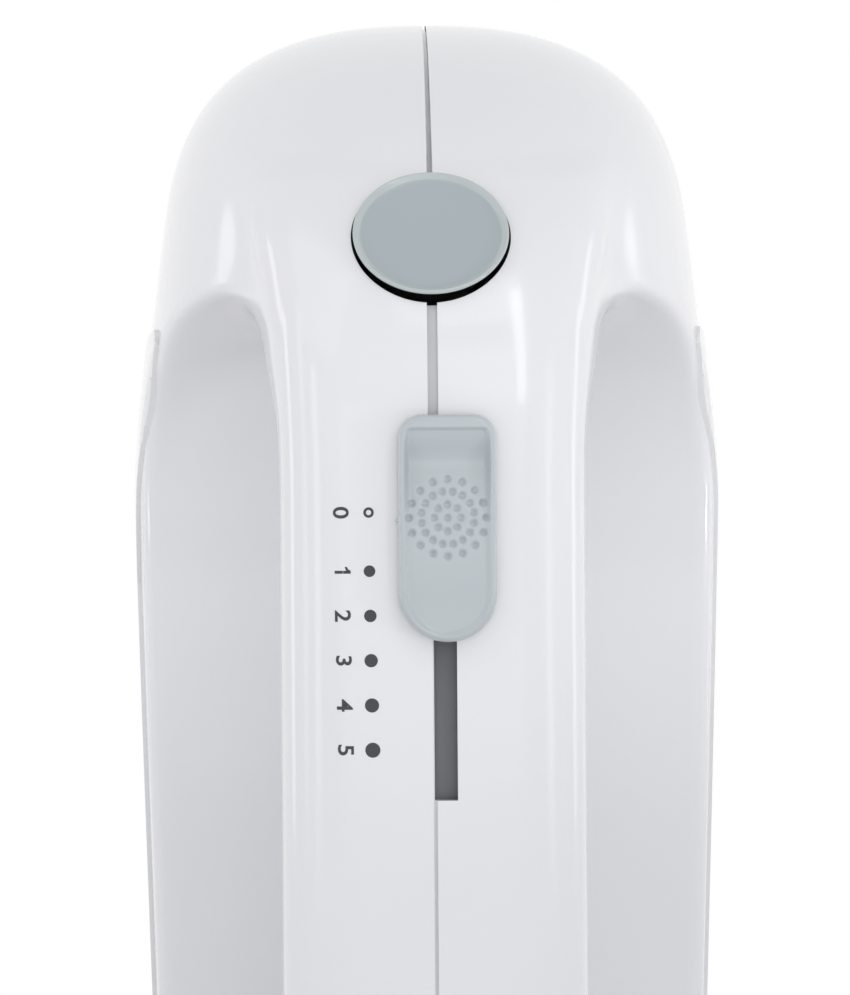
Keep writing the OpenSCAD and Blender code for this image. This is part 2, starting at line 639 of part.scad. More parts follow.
module cooling_fan() color(black) at_motor(fan_z) {
    tube(8, shaft_d + 7, shaft_d);
    difference() {
        tube(1.2, fan_d, shaft_d);
        for (a = [0:60:300]) rotate(a) translate([fan_d * 0.22, 0, -1]) cylinder(h = 4, d = 4, $fn = 24);
    }
    for (k = [0:fan_blades - 1]) rotate(k * 360 / fan_blades) translate([shaft_d / 2 + 2.5, 0, 0])
        rotate(18) translate([0, -0.6, 0.6]) cube([fan_d / 2 - shaft_d / 2 - 4, 1.2, 6.4]);
}
module noise_capacitor() color([0.75, 0.62, 0.2])
    translate([plate_w / 2 - 20, motor_y - 8, rear_plate_z - 15]) cube([12, 16, 15]);

// ---- worm drive ----
lead = PI * gear_module * worm_starts;
worm_root = worm_d / 2 - 1.25 * gear_module;
worm_tip = worm_d / 2 + gear_module;
// half the angle of a worm's thread at a radius
function thread_half(r) = (PI * gear_module / 4 - backlash / 2 - (r - worm_d / 2) * tan(20)) * 360 / lead;
function polar(r, a) = r * [cos(a), sin(a)];
function flank_r(i) = worm_root + (worm_tip - worm_root) * i / 3;
module worm_outline() polygon([
    for (s = [0:worm_starts - 1]) let (at = s * 360 / worm_starts) each concat(
        [for (i = [0:3]) let (r = flank_r(i)) polar(r, at - thread_half(r))],
        [for (i = [3:-1:0]) let (r = flank_r(i)) polar(r, at + thread_half(r))],
        [polar(worm_root, at + 180 / worm_starts)])]);
module worm() color(steel) at_motor(drive_z - worm_len / 2) difference() {
    rotate(-360 * worm_len / 2 / lead)
        linear_extrude(worm_len, twist = -360 * worm_len / lead, slices = round(worm_len * 3), $fn = 18)
            worm_outline();
    translate([0, 0, -1]) cylinder(h = worm_len + 2, d = shaft_d);
}
// half the angle of a gear's tooth at a radius, on an involute flank
base_r = pitch_r * cos(20);
function involute(r) = let (a = acos(min(1, base_r / r))) tan(a) * 180 / PI - a;
function tooth_half(r) = 90 / gear_teeth - backlash / 2 / pitch_r * 180 / PI
    + involute(pitch_r) - involute(max(r, base_r));
module gear_outline() {
    radii = [pitch_r - 1.25 * gear_module, base_r + 0.1, pitch_r, pitch_r + gear_module];
    polygon([for (k = [0:gear_teeth - 1]) let (mid = (k + 0.5) * 360 / gear_teeth) each concat(
        [for (r = radii) polar(r, mid - tooth_half(r))],
        [for (i = [3:-1:0]) polar(radii[i], mid + tooth_half(radii[i]))])]);
}
gear_twist = gear_face * lead / (PI * worm_d) / pitch_r * 180 / PI;
module worm_gear(s) color(white) at_spindle(s, gear_y) difference() {
    rotate(-gear_twist / 2) linear_extrude(gear_face, twist = -gear_twist, slices = 1) gear_outline();
    translate([0, 0, -1]) cylinder(h = gear_face + 2, d = spindle_d);
    translate([0, 0, -1]) tube(2.5, 2 * pitch_r - 5, spindle_d + 4);
    translate([0, 0, gear_face - 1.5]) tube(2.5, 2 * pitch_r - 5, spindle_d + 4);
}
module left_worm_gear() worm_gear(-1);
module right_worm_gear() worm_gear(1);
module plate_outline() {
    square([2 * drive_x, bush_d + 5], center = true);
    for (s = [-1, 1]) translate([s * drive_x, 0]) circle(d = bush_d + 5);
    translate([-8, -end_wall_z - 5 + drive_z]) square([16, end_wall_z + 5 - drive_z]);
    translate([-frame_half, drive_z - frame_bar_z - 3.5]) square([2 * frame_half, 7]);
    for (s = [-1, 1]) translate([s * (frame_half - 7) - 5, 0]) square([10, drive_z - frame_bar_z]);
}
module gear_plate(y, thick) translate([0, 0, drive_z]) along_y(y) difference() {
    linear_extrude(thick) plate_outline();
    for (s = [-1, 1]) translate([s * drive_x, 0, -1]) cylinder(h = thick + 2, d = bush_d);
}
post_x = frame_half - 4;
module at_posts(y) for (s = [-1, 1]) translate([s * post_x, 0, frame_bar_z]) along_y(y) children();
module gear_frame() color(iron) difference() {
    union() {
        gear_plate(frame_y[0], frame_y[1] - frame_y[0]);
        at_posts(cover_y[1]) cylinder(h = frame_y[0] - cover_y[1] + 1, d = 7);
        translate([-8, cover_y[1], end_wall_z]) cube([16, frame_y[0] - cover_y[1] + 1, 4]);
    }
    at_posts(cover_y[0]) cylinder(h = 12, d = gear_screw_d + 2 * seat_gap);
    at_motor(end_wall_z - 1) cylinder(h = 8, d = bearing_d);
}
module gear_cover() color(iron) difference() {
    gear_plate(cover_y[0], cover_y[1] - cover_y[0]);
    at_posts(cover_y[0] - 1) cylinder(h = 12, d = gear_screw_d + 2 * seat_gap);
}
module gear_screws() color(steel) at_posts(cover_y[0] + 9) rotate([180, 0, 0])
    screw(9, gear_screw_d, gear_screw_head / 0.45);
module spindle_bushes() color(brass) for (s = [-1, 1]) {
    at_spindle(s, cover_y[0]) tube(cover_y[1] - cover_y[0] + flange, bush_d, spindle_d + 2 * run_fit);
    at_spindle(s, frame_y[0] - flange)
        tube(frame_y[1] - frame_y[0] + flange, bush_d, spindle_d + 2 * run_fit);
}
slot_depth = 4;
module spindle(s) color(steel) difference() {
    at_spindle(s, spindle_y[0]) tube(spindle_y[1] - spindle_y[0], spindle_d, stem_d + 2 * run_fit);
    translate([s * drive_x, spindle_y[1] - slot_depth / 2 + 1, drive_z])
        cube([spindle_d + 2, slot_depth + 2, 1.8], center = true);
}
module left_spindle() spindle(-1);
module right_spindle() spindle(1);

// ---- beaters ----
cage_y = [spindle_y[1] + 3.5, spindle_y[1] + 3.5 + beater_len];
collar_h = 5;
foot_d = rod_d + 4;
module beater_stem(s) color(steel) {
    difference() {
        at_spindle(s, stem_top) {
            cylinder(h = 1, d1 = stem_d - 1.6, d2 = stem_d);
            translate([0, 0, 1]) cylinder(h = cage_y[0] + collar_h - stem_top - 1, d = stem_d);
        }
        at_spindle(s, stem_top + 10) tube(1.6, stem_d + 2, stem_d - 1);
    }
    at_spindle(s, cage_y[0]) cylinder(h = beater_len - 1, d = rod_d);
    translate([s * drive_x, spindle_y[1] - slot_depth / 2, drive_z])
        cube([spindle_d - 1, slot_depth - 1, 1.4], center = true);
}
module left_beater_stem() beater_stem(-1);
module right_beater_stem() beater_stem(1);
blade_steps = 16;
function blade_curve(r, y, len) = [for (i = [0:blade_steps]) let (u = i / blade_steps)
    [r * pow(sin(180 * pow(u, 1.15)), 0.62), y + len * (1 - cos(180 * u)) / 2]];
function reversed(list) = [for (i = [len(list) - 1:-1:0]) list[i]];
module blade() rotate([0, -90, 0]) rotate(0) linear_extrude(blade_w, center = true)
    polygon([for (p = concat(blade_curve(beater_d / 2, 2, beater_len - 4),
        reversed(blade_curve(beater_d / 2 - blade_thick, 2 + blade_thick, beater_len - 4 - 2 * blade_thick))))
        [p[1], p[0]]]);
module beater_cage(s) color(steel) at_spindle(s, cage_y[0]) difference() {
    union() {
        for (a = [0:90:270]) rotate(a + (s > 0 ? 45 : 0)) blade();
        cylinder(h = collar_h - 2, d = 15);
        translate([0, 0, collar_h - 2]) cylinder(h = 3, d1 = 15, d2 = 9);
        translate([0, 0, beater_len - 5]) cylinder(h = 5, d = foot_d);
    }
    translate([0, 0, -1]) cylinder(h = beater_len, d = rod_d);
    translate([0, 0, -1]) cylinder(h = collar_h + 1, d = stem_d);
}
module left_beater_cage() beater_cage(-1);
module right_beater_cage() beater_cage(1);

left_housing();
right_housing();
housing_screws();
cord_gland();
eject_button();
ejector_yoke();
ejector_spring();
speed_slider();
slider_carriage();
contact_wiper();
switch_base();
switch_contacts();
stator_core();
left_field_coil();
right_field_coil();
front_bracket();
rear_bracket();
bracket_screws();
front_bearing();
rear_bearing();
motor_shaft();
armature_core();
armature_winding();
commutator();
cooling_fan();
worm();
left_brush();
right_brush();
brush_holders();
noise_capacitor();
gear_frame();
gear_cover();
gear_screws();
spindle_bushes();
nose_bearing();
left_worm_gear();
right_worm_gear();
left_spindle();
right_spindle();
left_beater_stem();
right_beater_stem();
left_beater_cage();
right_beater_cage();
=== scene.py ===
"""Looks of the hand mixer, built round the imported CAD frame. Lengths are millimetres until a mesh is made."""
import math

import bpy
import numpy as np
from mathutils import Matrix, Vector


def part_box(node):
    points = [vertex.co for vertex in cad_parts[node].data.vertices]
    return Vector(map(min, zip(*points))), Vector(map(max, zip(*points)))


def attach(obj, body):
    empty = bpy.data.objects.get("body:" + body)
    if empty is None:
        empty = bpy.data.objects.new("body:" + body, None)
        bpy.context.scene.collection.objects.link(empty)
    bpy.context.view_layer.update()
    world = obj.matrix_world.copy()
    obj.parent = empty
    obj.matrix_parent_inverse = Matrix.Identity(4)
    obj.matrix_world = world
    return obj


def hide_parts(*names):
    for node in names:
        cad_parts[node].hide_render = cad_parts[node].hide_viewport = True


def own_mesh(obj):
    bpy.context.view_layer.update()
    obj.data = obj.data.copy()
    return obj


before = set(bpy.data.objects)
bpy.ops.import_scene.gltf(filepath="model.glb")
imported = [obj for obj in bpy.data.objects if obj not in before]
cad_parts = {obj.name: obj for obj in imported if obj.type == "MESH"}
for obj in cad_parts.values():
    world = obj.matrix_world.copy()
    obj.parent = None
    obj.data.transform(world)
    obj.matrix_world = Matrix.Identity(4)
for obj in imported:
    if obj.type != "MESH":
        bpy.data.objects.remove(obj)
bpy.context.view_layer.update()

# ------------------------------------------------------------------ sizes, as in the CAD source
# (the seam is finer: it is 0.8 wide and 0.9 deep there)
BODY_LEN, BODY_W, BELLY_Y, CROWN_Y, DECK_Y, TIP_Y = 193.5, 86.0, 56.0, 66.0, 8.0, 10.0
NOSE_LEN, NOSE_TAPER, CROWN_FALL, TAIL_TAPER, HEEL_EDGE, TAIL_ROUND = 69.5, 0.086, 58.5, 3.8, 6.0, 24.0
WALL, SEAM_W, SEAM_DEPTH, BAND_RISE, BAND_Y, BAND_CLIMB = 2.5, 0.5, 0.6, 0.6, 2.0, 20.0
CLIMB_LEN, CLIMB_PAST, TAIL_CLIMB, TAIL_TOP_Z, WAIST_Y, SPINE = 53.0, 5.0, 36.0, 12.0, 20.0, 9.0
HANDLE_W, HANDLE_THICK, HANDLE_FLARE, ROOT_FLARE, GRIP_REAR, GRIP_FRONT = 40.5, 27.0, 2.2, 8.0, 34.0, 45.5
ARCH_LEN, ARCH_RISE = 14.0, 22.0
BUTTON_D, BUTTON_LEAN, BUTTON_Z, BUTTON_RISE, BUTTON_THICK, BUTTON_GAP = 21.0, 36.0, 158.6, 1.3, 5.0, 0.3
SLIDER_W, SLIDER_LEN, SLIDER_RISE, SLIDER_X = 12.6, 29.4, 3.2, 1.4
OFF_Z, FIRST_STEP, SPEED_STEP = 121.7, 7.4, 5.8
SLOT_W, SLOT_REAR, SLOT_FRONT = 3.0, 84.7, 122.1
DRIVE_Z, DRIVE_X, SPINDLE_D = 150.0, 19.0, 11.0
SIDE_W = BODY_W / 2 - BAND_RISE
WIDE_Z = BODY_LEN - NOSE_LEN
BEND_Z = BODY_LEN - CROWN_FALL
BELLY_END = BODY_LEN - 28
FRONT_Z = BODY_LEN - GRIP_FRONT
SHOULDER_Z = FRONT_Z + CLIMB_PAST
SINK_Z = BODY_LEN - 27.5
# how round each outline is: the powers that fall() takes at the nose, crown, heel and belly
NOSE_SHAPE, CROWN_SHAPE, HEEL_SHAPE, BELLY_SHAPE = (5.2, 2.4), (1.9, 1.65), (2, 2), (2.2, 2.2)
# powers of the sections, on the crown's and the belly's side and in the handle, and of the deck's arches
CROWN_SECTION, BELLY_SECTION, HANDLE_SECTION, FRONT_ARCH, REAR_ARCH = 2.5, 2.857, 3, 3.5, 2.25
# rounding of the deck's edge, and of the handle's fillet, which narrows from one height to the other
DECK_EDGE, FILLET, FILLET_LOSS, NARROW_FROM, NARROW_TO = 2.2, 7, 4.5, 146, 160
# the handle: where it starts and how far from the nose it ends, how deep it goes and sinks into the nose,
# and the depth from which its root flares
HANDLE_FOOT, HANDLE_END, HANDLE_REACH, HANDLE_SINK, FLARE_FROM = 9, 15, 18, 11, 8
# half widths of the centre groove: at the crown's top, by the button, and where it widens and its floor is
# painted shade
GROOVE_TOP, GROOVE_LOW, WIDE_GROOVE_HALF = 0.27, 0.42, 0.68
# the button's cap is a little small and low in a well that is close round it
CAP_SHRINK, CAP_SINK, WELL_GAP = 0.2, 0.6, 0.05


# ------------------------------------------------------------------ the housing's form
def ease(a, b, z):
    """A smooth step from 0 at a to 1 at b."""
    t = np.clip((z - a) / (b - a), 0, 1)
    return t * t * (3 - 2 * t)


def fall(t, p, q):
    """A rounded drop from 1 at t = 0 to 0 at t = 1."""
    return np.maximum(0, 1 - np.clip(t, 0, 1) ** p) ** (1 / q)


def edge_arc(z, r):
    """How far a round of radius r at the heel has drawn in at height z."""
    return r - np.sqrt(np.maximum(0, r * r - np.maximum(0, r - z) ** 2))


def side(z):
    """Half the housing's width."""
    t = np.clip((z - WIDE_Z) / NOSE_LEN, 0, 1)
    nose = SIDE_W * (1 - NOSE_TAPER * ease(0, 0.6, t)) * fall(t, *NOSE_SHAPE)
    back = np.clip((WIDE_Z - z) / WIDE_Z, 0, 1)
    return np.where(z > WIDE_Z, nose, SIDE_W - TAIL_TAPER * back**1.1 - edge_arc(z, HEEL_EDGE))


def crown(z):
    """Y of the handle's top line."""
    heel = BELLY_Y - HEEL_EDGE
    return np.where(
        z > BEND_Z,
        TIP_Y - (CROWN_Y + TIP_Y) * fall((z - BEND_Z) / CROWN_FALL, *CROWN_SHAPE),
        -heel - (CROWN_Y - heel) * fall((TAIL_ROUND - z) / TAIL_ROUND, *HEEL_SHAPE),
    )


def belly(z):
    """Y of the line along the back."""
    return np.where(
        z > BELLY_END,
        TIP_Y + (BELLY_Y - TIP_Y) * fall((z - BELLY_END) / (BODY_LEN - BELLY_END), *BELLY_SHAPE),
        BELLY_Y - edge_arc(z, HEEL_EDGE),
    )


def ridge(z):
    """The body's own top line, under the handle's until they meet in the nose."""
    return crown(z) + SPINE * (ease(HEEL_EDGE, TAIL_TOP_Z + 2, z) - ease(FRONT_Z + 2, SINK_Z + 4, z))


def waist(z):
    """Y where the housing is widest."""
    t = ease(FRONT_Z - 20, BODY_LEN - 8, z)
    return WAIST_Y * (1 - t) + (belly(z) + crown(z)) / 2 * t


def superellipse(u, v, a, b, p):
    """Rough distance to a section with half axes a and b."""
    g = (np.abs(u / a) ** p + np.abs(v / b) ** p) ** (1 / p)
    g = np.maximum(g, 1e-6)
    slope = np.hypot(np.abs(u / a) ** (p - 1) / a, np.abs(v / b) ** (p - 1) / b) / g ** (p - 1)
    return (g - 1) / np.maximum(slope, 1 / np.maximum(a, b))


def deck_room(y, z):
    """Distance to the room over the deck, which climbs in an arc at each end; negative inside it."""
    front = (z - SHOULDER_Z + CLIMB_LEN) / CLIMB_LEN
    rear = (TAIL_TOP_Z + TAIL_CLIMB - z) / TAIL_CLIMB
    dz = np.maximum(np.maximum(front, rear), 0)
    reach = np.where(front > rear, CLIMB_LEN, TAIL_CLIMB)
    dy = np.maximum(y + CROWN_Y, 0) / (CROWN_Y - DECK_Y)
    p = np.where(front > rear, FRONT_ARCH, REAR_ARCH)
    r = np.maximum((dz**p + dy**p) ** (1 / p), 1e-6)
    slope = np.hypot(dz ** (p - 1) / reach, dy ** (p - 1) / (CROWN_Y - DECK_Y)) / r ** (p - 1)
    return (r - 1) / np.maximum(slope, 1 / 80)


def loft_field(x, y, z):
    """The housing without handle or hollows."""
    w = waist(z)
    half = np.maximum(np.where(y > w, belly(z) - w, w - ridge(z)), 0.4)
    power = np.where(y > w, BELLY_SECTION, CROWN_SECTION)
    d = superellipse(x, y - w, np.maximum(side(z), 0.4), half, power)
    return np.maximum(np.maximum(d, -z), z - BODY_LEN)


def body_field(x, y, z):
    """The housing with its deck cut, and the cut's edge rounded."""
    a, b, k = loft_field(x, y, z), -deck_room(y, z), DECK_EDGE
    m = np.clip(0.5 + 0.5 * (a - b) / k, 0, 1)
    return b + (a - b) * m + k * m * (1 - m)


def opening_field(y, z):
    """Distance to the finger opening's outline, negative inside the opening."""
    dz = np.maximum(np.maximum(GRIP_REAR + ARCH_LEN - z, z - FRONT_Z + ARCH_LEN), 0) / ARCH_LEN
    dy = np.maximum(HANDLE_THICK - CROWN_Y + ARCH_RISE - y, 0) / ARCH_RISE
    r = np.hypot(dz, dy)
    slope = np.hypot(dz / ARCH_LEN, dy / ARCH_RISE) / np.maximum(r, 1e-6)
    return (r - 1) / np.where(r > 1e-6, np.maximum(slope, 1e-3), 1 / ARCH_LEN)


def handle_field(x, y, z):
    """The handle with the finger opening's outline on its inner side."""
    h = HANDLE_THICK / 2
    a = HANDLE_W / 2 + HANDLE_FLARE * np.clip((z - WIDE_Z) / (BUTTON_Z - WIDE_Z), 0, 1) ** 2
    depth = (y + CROWN_Y - FLARE_FROM) / (CROWN_Y + DECK_Y + 10 - h - FLARE_FROM)
    a = a + ROOT_FLARE * ease(FRONT_Z - ARCH_LEN - 4, FRONT_Z - 4, z) * np.clip(depth, 0, 1)
    top = crown(z) + HANDLE_SINK * ease(SINK_Z, BODY_LEN - HANDLE_END, z)
    v = np.maximum(np.maximum(h - (y - top), h - opening_field(y, z)), 0)
    d = superellipse(x, v, a, h, HANDLE_SECTION)
    ends = np.maximum(HANDLE_FOOT - z, z - BODY_LEN + HANDLE_END)
    return np.maximum(np.maximum(d, y - HANDLE_REACH), ends)


def form_field(x, y, z):
    """Housing and handle run together; the fillet is tighter near the nose."""
    b, h = body_field(x, y, z), handle_field(x, y, z)
    k = FILLET - FILLET_LOSS * ease(NARROW_FROM, NARROW_TO, z)
    m = np.clip(0.5 + 0.5 * (h - b) / k, 0, 1)
    return h + (b - h) * m - k * m * (1 - m)


def field_slope(fn, p, e=0.04):
    """The gradient of fn at points p."""
    out = np.empty_like(p)
    for i in range(3):
        q, r = p.copy(), p.copy()
        q[:, i] += e
        r[:, i] -= e
        out[:, i] = (fn(*q.T) - fn(*r.T)) / (2 * e)
    return out


EDGES = [
    ((i, j, k), (i + a, j + b, k + c))
    for a, b, c in ((1, 0, 0), (0, 1, 0), (0, 0, 1))
    for i in range(2 - a) for j in range(2 - b) for k in range(2 - c)
]


# the space the form is looked for in, which holds its +X half, and how often its points are pulled on to it
SPAN, PULLS = ((-2.2, -68, -2), (45, 58, 194)), 5


def extract(fn, h, level=0.0):
    """A closed quad mesh of fn = level on a grid of pitch h; at level 0 it is pulled on to the surface."""
    axes = [np.arange(a, b + h, h) for a, b in zip(*SPAN)]
    grid = np.meshgrid(*axes, indexing="ij")
    f = fn(*grid)
    if level:
        g = np.gradient(f, h)
        f = f / np.clip(np.sqrt(g[0] ** 2 + g[1] ** 2 + g[2] ** 2), 0.5, 4) - level
    f[0], f[-1], f[:, 0], f[:, -1], f[:, :, 0], f[:, :, -1] = (9.0,) * 6
    ins = f < 0
    n = ins.shape
    total = sum(
        ins[i:n[0] - 1 + i, j:n[1] - 1 + j, k:n[2] - 1 + k].astype(np.int8)
        for i in (0, 1) for j in (0, 1) for k in (0, 1)
    )
    mixed = (total > 0) & (total < 8)
    index = np.full(mixed.shape, -1)
    index[mixed] = np.arange(mixed.sum())
    cells = np.argwhere(mixed)
    pos, cnt = np.zeros((len(cells), 3)), np.zeros(len(cells))
    for a, b in EDGES:
        fa, fb = f[tuple((cells + a).T)], f[tuple((cells + b).T)]
        m = (fa < 0) != (fb < 0)
        t = (fa / np.where(m, fa - fb, 1))[:, None]
        pos[m] += (cells + a + t * (np.array(b) - a))[m]
        cnt[m] += 1
    pos = pos / cnt[:, None] * h + [ax[0] for ax in axes]
    faces = []
    for axis in range(3):
        u, v = [(1, 2), (2, 0), (0, 1)][axis]
        s = [slice(1, -1)] * 3
        s0, s1 = list(s), list(s)
        s0[axis], s1[axis] = slice(0, -1), slice(1, None)
        a, b = ins[tuple(s0)], ins[tuple(s1)]
        at = np.argwhere(a != b)
        out = a[tuple(at.T)]
        at[:, u] += 1
        at[:, v] += 1
        q = []
        for du, dv in ((-1, -1), (0, -1), (0, 0), (-1, 0)):
            c = at.copy()
            c[:, u] += du
            c[:, v] += dv
            q.append(index[tuple(c.T)])
        q = np.stack(q, 1)
        q[~out] = q[~out][:, ::-1]
        faces.append(q)
    faces = np.concatenate(faces)
    if not level:
        pairs = np.concatenate([faces[:, [i, (i + 1) % 4]] for i in range(4)])
        count = np.bincount(pairs[:, 0], minlength=len(pos))[:, None]
        for turn in range(PULLS):
            if turn < PULLS - 1:
                near = [np.bincount(pairs[:, 0], pos[pairs[:, 1], i], len(pos)) for i in range(3)]
                near = np.stack(near, 1)
                pos = 0.5 * pos + 0.5 * near / count
            g = field_slope(fn, pos)
            step = (fn(*pos.T) / np.maximum((g**2).sum(1), 0.05))[:, None] * g
            size = np.linalg.norm(step, axis=1)[:, None]
            pos -= step * np.minimum(1, 0.4 * h / np.maximum(size, 1e-9))
    pos[:, 2] = np.where(np.abs(pos[:, 2]) < 0.05, 0, pos[:, 2])
    return pos, faces


# ------------------------------------------------------------------ mesh tools
def piece(name, verts, faces, smooth=True):
    """A mesh object from vertices in millimetres."""
    me = bpy.data.meshes.new(name)
    me.from_pydata((np.asarray(verts, float) / 1000).tolist(), [], [list(map(int, f)) for f in faces])
    me.validate()
    if smooth:
        me.shade_smooth()
    ob = bpy.data.objects.new(name, me)
    bpy.context.scene.collection.objects.link(ob)
    return ob


def drop(ob):
    """Removes an object and its mesh."""
    me = ob.data
    bpy.data.objects.remove(ob)
    bpy.data.meshes.remove(me)


def boolean(ob, other, how):
    """ob becomes its union, difference or intersection with other, which goes."""
    mod = ob.modifiers.new("b", "BOOLEAN")
    mod.solver, mod.operation, mod.object = "MANIFOLD", how, other
    bpy.context.view_layer.update()
    me = bpy.data.meshes.new_from_object(ob.evaluated_get(bpy.context.evaluated_depsgraph_get()))
    ob.modifiers.clear()
    old, ob.data = ob.data, me
    bpy.data.meshes.remove(old)
    drop(other)
    if len(me.polygons) == 0:
        raise RuntimeError(f"{ob.name} is empty after {how}")
    return ob


def merged(parts):
    """One mesh object from several that don't touch."""
    vs, fs, n = [], [], 0
    for ob in parts:
        vs += [v.co * 1000 for v in ob.data.vertices]
        fs += [[i + n for i in p.vertices] for p in ob.data.polygons]
        n = len(vs)
        drop(ob)
    return piece("cut", [tuple(v) for v in vs], fs)


def place(ob, m):
    """Moves an object's mesh, and keeps its faces outward where the move mirrors it."""
    ob.data.transform(m)
    if m.determinant() < 0:
        ob.data.flip_normals()
    return ob


def shift(x, y, z):
    """A move by millimetres."""
    return Matrix.Translation(Vector((x, y, z)) / 1000)


def along_y(x, y, z):
    """Puts a lathe's axis, drawn along Z, on +Y."""
    return shift(x, y, z) @ Matrix.Rotation(-math.pi / 2, 4, "X")


def along_x(x, y, z):
    """Puts a lathe's axis on +X."""
    return shift(x, y, z) @ Matrix.Rotation(math.pi / 2, 4, "Y")


AT_BUTTON = shift(0, float(crown(BUTTON_Z)), BUTTON_Z)
AT_BUTTON = AT_BUTTON @ Matrix.Rotation(math.radians(90 - BUTTON_LEAN), 4, "X")


def block(x0, y0, z0, x1, y1, z1):
    """A box between two corners."""
    v = [(x, y, z) for x in (x0, x1) for y in (y0, y1) for z in (z0, z1)]
    f = [(0, 1, 3, 2), (4, 6, 7, 5), (0, 4, 5, 1), (2, 3, 7, 6), (0, 2, 6, 4), (1, 5, 7, 3)]
    return piece("block", v, f, smooth=False)


def lathe(profile, n=96, name="lathe"):
    """A solid turned round Z from (radius, height) pairs; radius 0 at both ends closes it."""
    v, f, rings = [], [], []
    for r, z in profile:
        if r < 1e-9:
            rings.append([len(v)] * n)
            v.append((0, 0, z))
        else:
            rings.append(list(range(len(v), len(v) + n)))
            v += [(r * math.cos(2 * math.pi * i / n), r * math.sin(2 * math.pi * i / n), z) for i in range(n)]
    for a, b in zip(rings[:-1], rings[1:]):
        for i in range(n):
            q = [a[i], a[(i + 1) % n], b[(i + 1) % n], b[i]]
            q = [k for j, k in enumerate(q) if k != q[j - 1]]
            if len(q) > 2:
                f.append(q)
    return piece(name, v, f)


def rod(r, z0, z1, n=64):
    """A cylinder from z0 to z1."""
    return lathe([(0, z0), (r, z0), (r, z1), (0, z1)], n)


def prism(outline, y0, y1):
    """An outline in X and Z, going round from +Z towards +X, stood along Y."""
    n = len(outline)
    v = [(x, y0, z) for x, z in outline] + [(x, y1, z) for x, z in outline]
    f = [list(range(n)), list(range(2 * n - 1, n - 1, -1))]
    f += [[i, i + n, (i + 1) % n + n, (i + 1) % n] for i in range(n)]
    return piece("prism", v, f)


def side_prism(outline, x0, x1):
    """An outline in Y and Z stood along X."""
    n = len(outline)
    v = [(x0, y, z) for y, z in outline] + [(x1, y, z) for y, z in outline]
    f = [list(range(n - 1, -1, -1)), list(range(n, 2 * n))]
    f += [[i, (i + 1) % n, (i + 1) % n + n, i + n] for i in range(n)]
    return piece("prism", v, f)


def sharpen(ob, angle):
    """Smooth shading, with edges over the angle left sharp."""
    ob.data.shade_smooth()
    ob.data.set_sharp_from_angle(angle=math.radians(angle))
    return ob


# ------------------------------------------------------------------ housing halves
# Y and Z of each screw
SCREWS = [(-CROWN_Y + 12, 24), (BELLY_Y - 11, 14), (BELLY_Y - 9.5, DRIVE_Z - 22),
          (BELLY_Y - 16, BODY_LEN - 17)]
BOSS_R, SCREW_WAY_R, WELL_WALL, SPINDLE_ROOM, GLAND_R, GLAND_LEAN = 4.2, 3, 1.5, 0.8, 6.3, 124
VENTS, VENT_Z, VENT_PITCH, VENT_R, VENT_FROM, VENT_TO = 8, 34, 4.8, 1.2, 9, SIDE_W - 14
COLLAR = [(0, -4), (9.5, -4), (9.5, 0.7), (9.35, 1.05), (9.0, 1.2), (0, 1.2)]
BAND_TOP, BAND_FROM, FAR_SIDE = BAND_Y - BAND_CLIMB, 12, 80
BAND_RIM = [(BAND_Y, HEEL_EDGE), (BAND_Y, WIDE_Z - 12), (BAND_TOP, FRONT_Z - 2.5),
            (BAND_TOP + 0.4, FRONT_Z - 1), (BAND_TOP + 2, FRONT_Z), (BELLY_Y - 7, FRONT_Z - 6),
            (BELLY_Y - 7, HEEL_EDGE)]


def right_of(x, field_mesh, name="inset"):
    """The part of an extracted form that lies on the +X side of x."""
    return boolean(piece(name, *field_mesh), block(x, -90, -20, FAR_SIDE, 90, 220), "INTERSECT")


def groove_cut():
    """The centre groove along the handle: it tapers to the crown, and is wider between the slider and the
    button, where its floor is painted shade.
    """
    top = BODY_LEN + 2
    taper = prism([(-1, top), (GROOVE_TOP, top), (GROOVE_LOW, BUTTON_Z), (-1, BUTTON_Z)], -90, 8)
    return merged([taper, block(-1, -90, OFF_Z, WIDE_GROOVE_HALF, -20, BUTTON_Z - 2)])


def vent_cut(z):
    """One vent through the back, a slot with round ends along X."""
    ends = (VENT_TO, 0), (VENT_FROM, math.pi)
    outline = [(x + VENT_R * math.sin(t), z + VENT_R * math.cos(t))
               for x, start in ends for t in np.linspace(start, start + math.pi, 9)]
    return prism(outline, BELLY_Y - 8, BELLY_Y + 8)


def gland_axis():
    """The cord gland's place on the rounded heel."""
    heel, turn = CROWN_Y - (BELLY_Y - HEEL_EDGE), math.pi / 4
    at = shift(0, -(BELLY_Y - HEEL_EDGE) - heel * math.cos(turn), TAIL_ROUND * (1 - math.sin(turn)))
    return at @ Matrix.Rotation(math.radians(GLAND_LEAN), 4, "X")


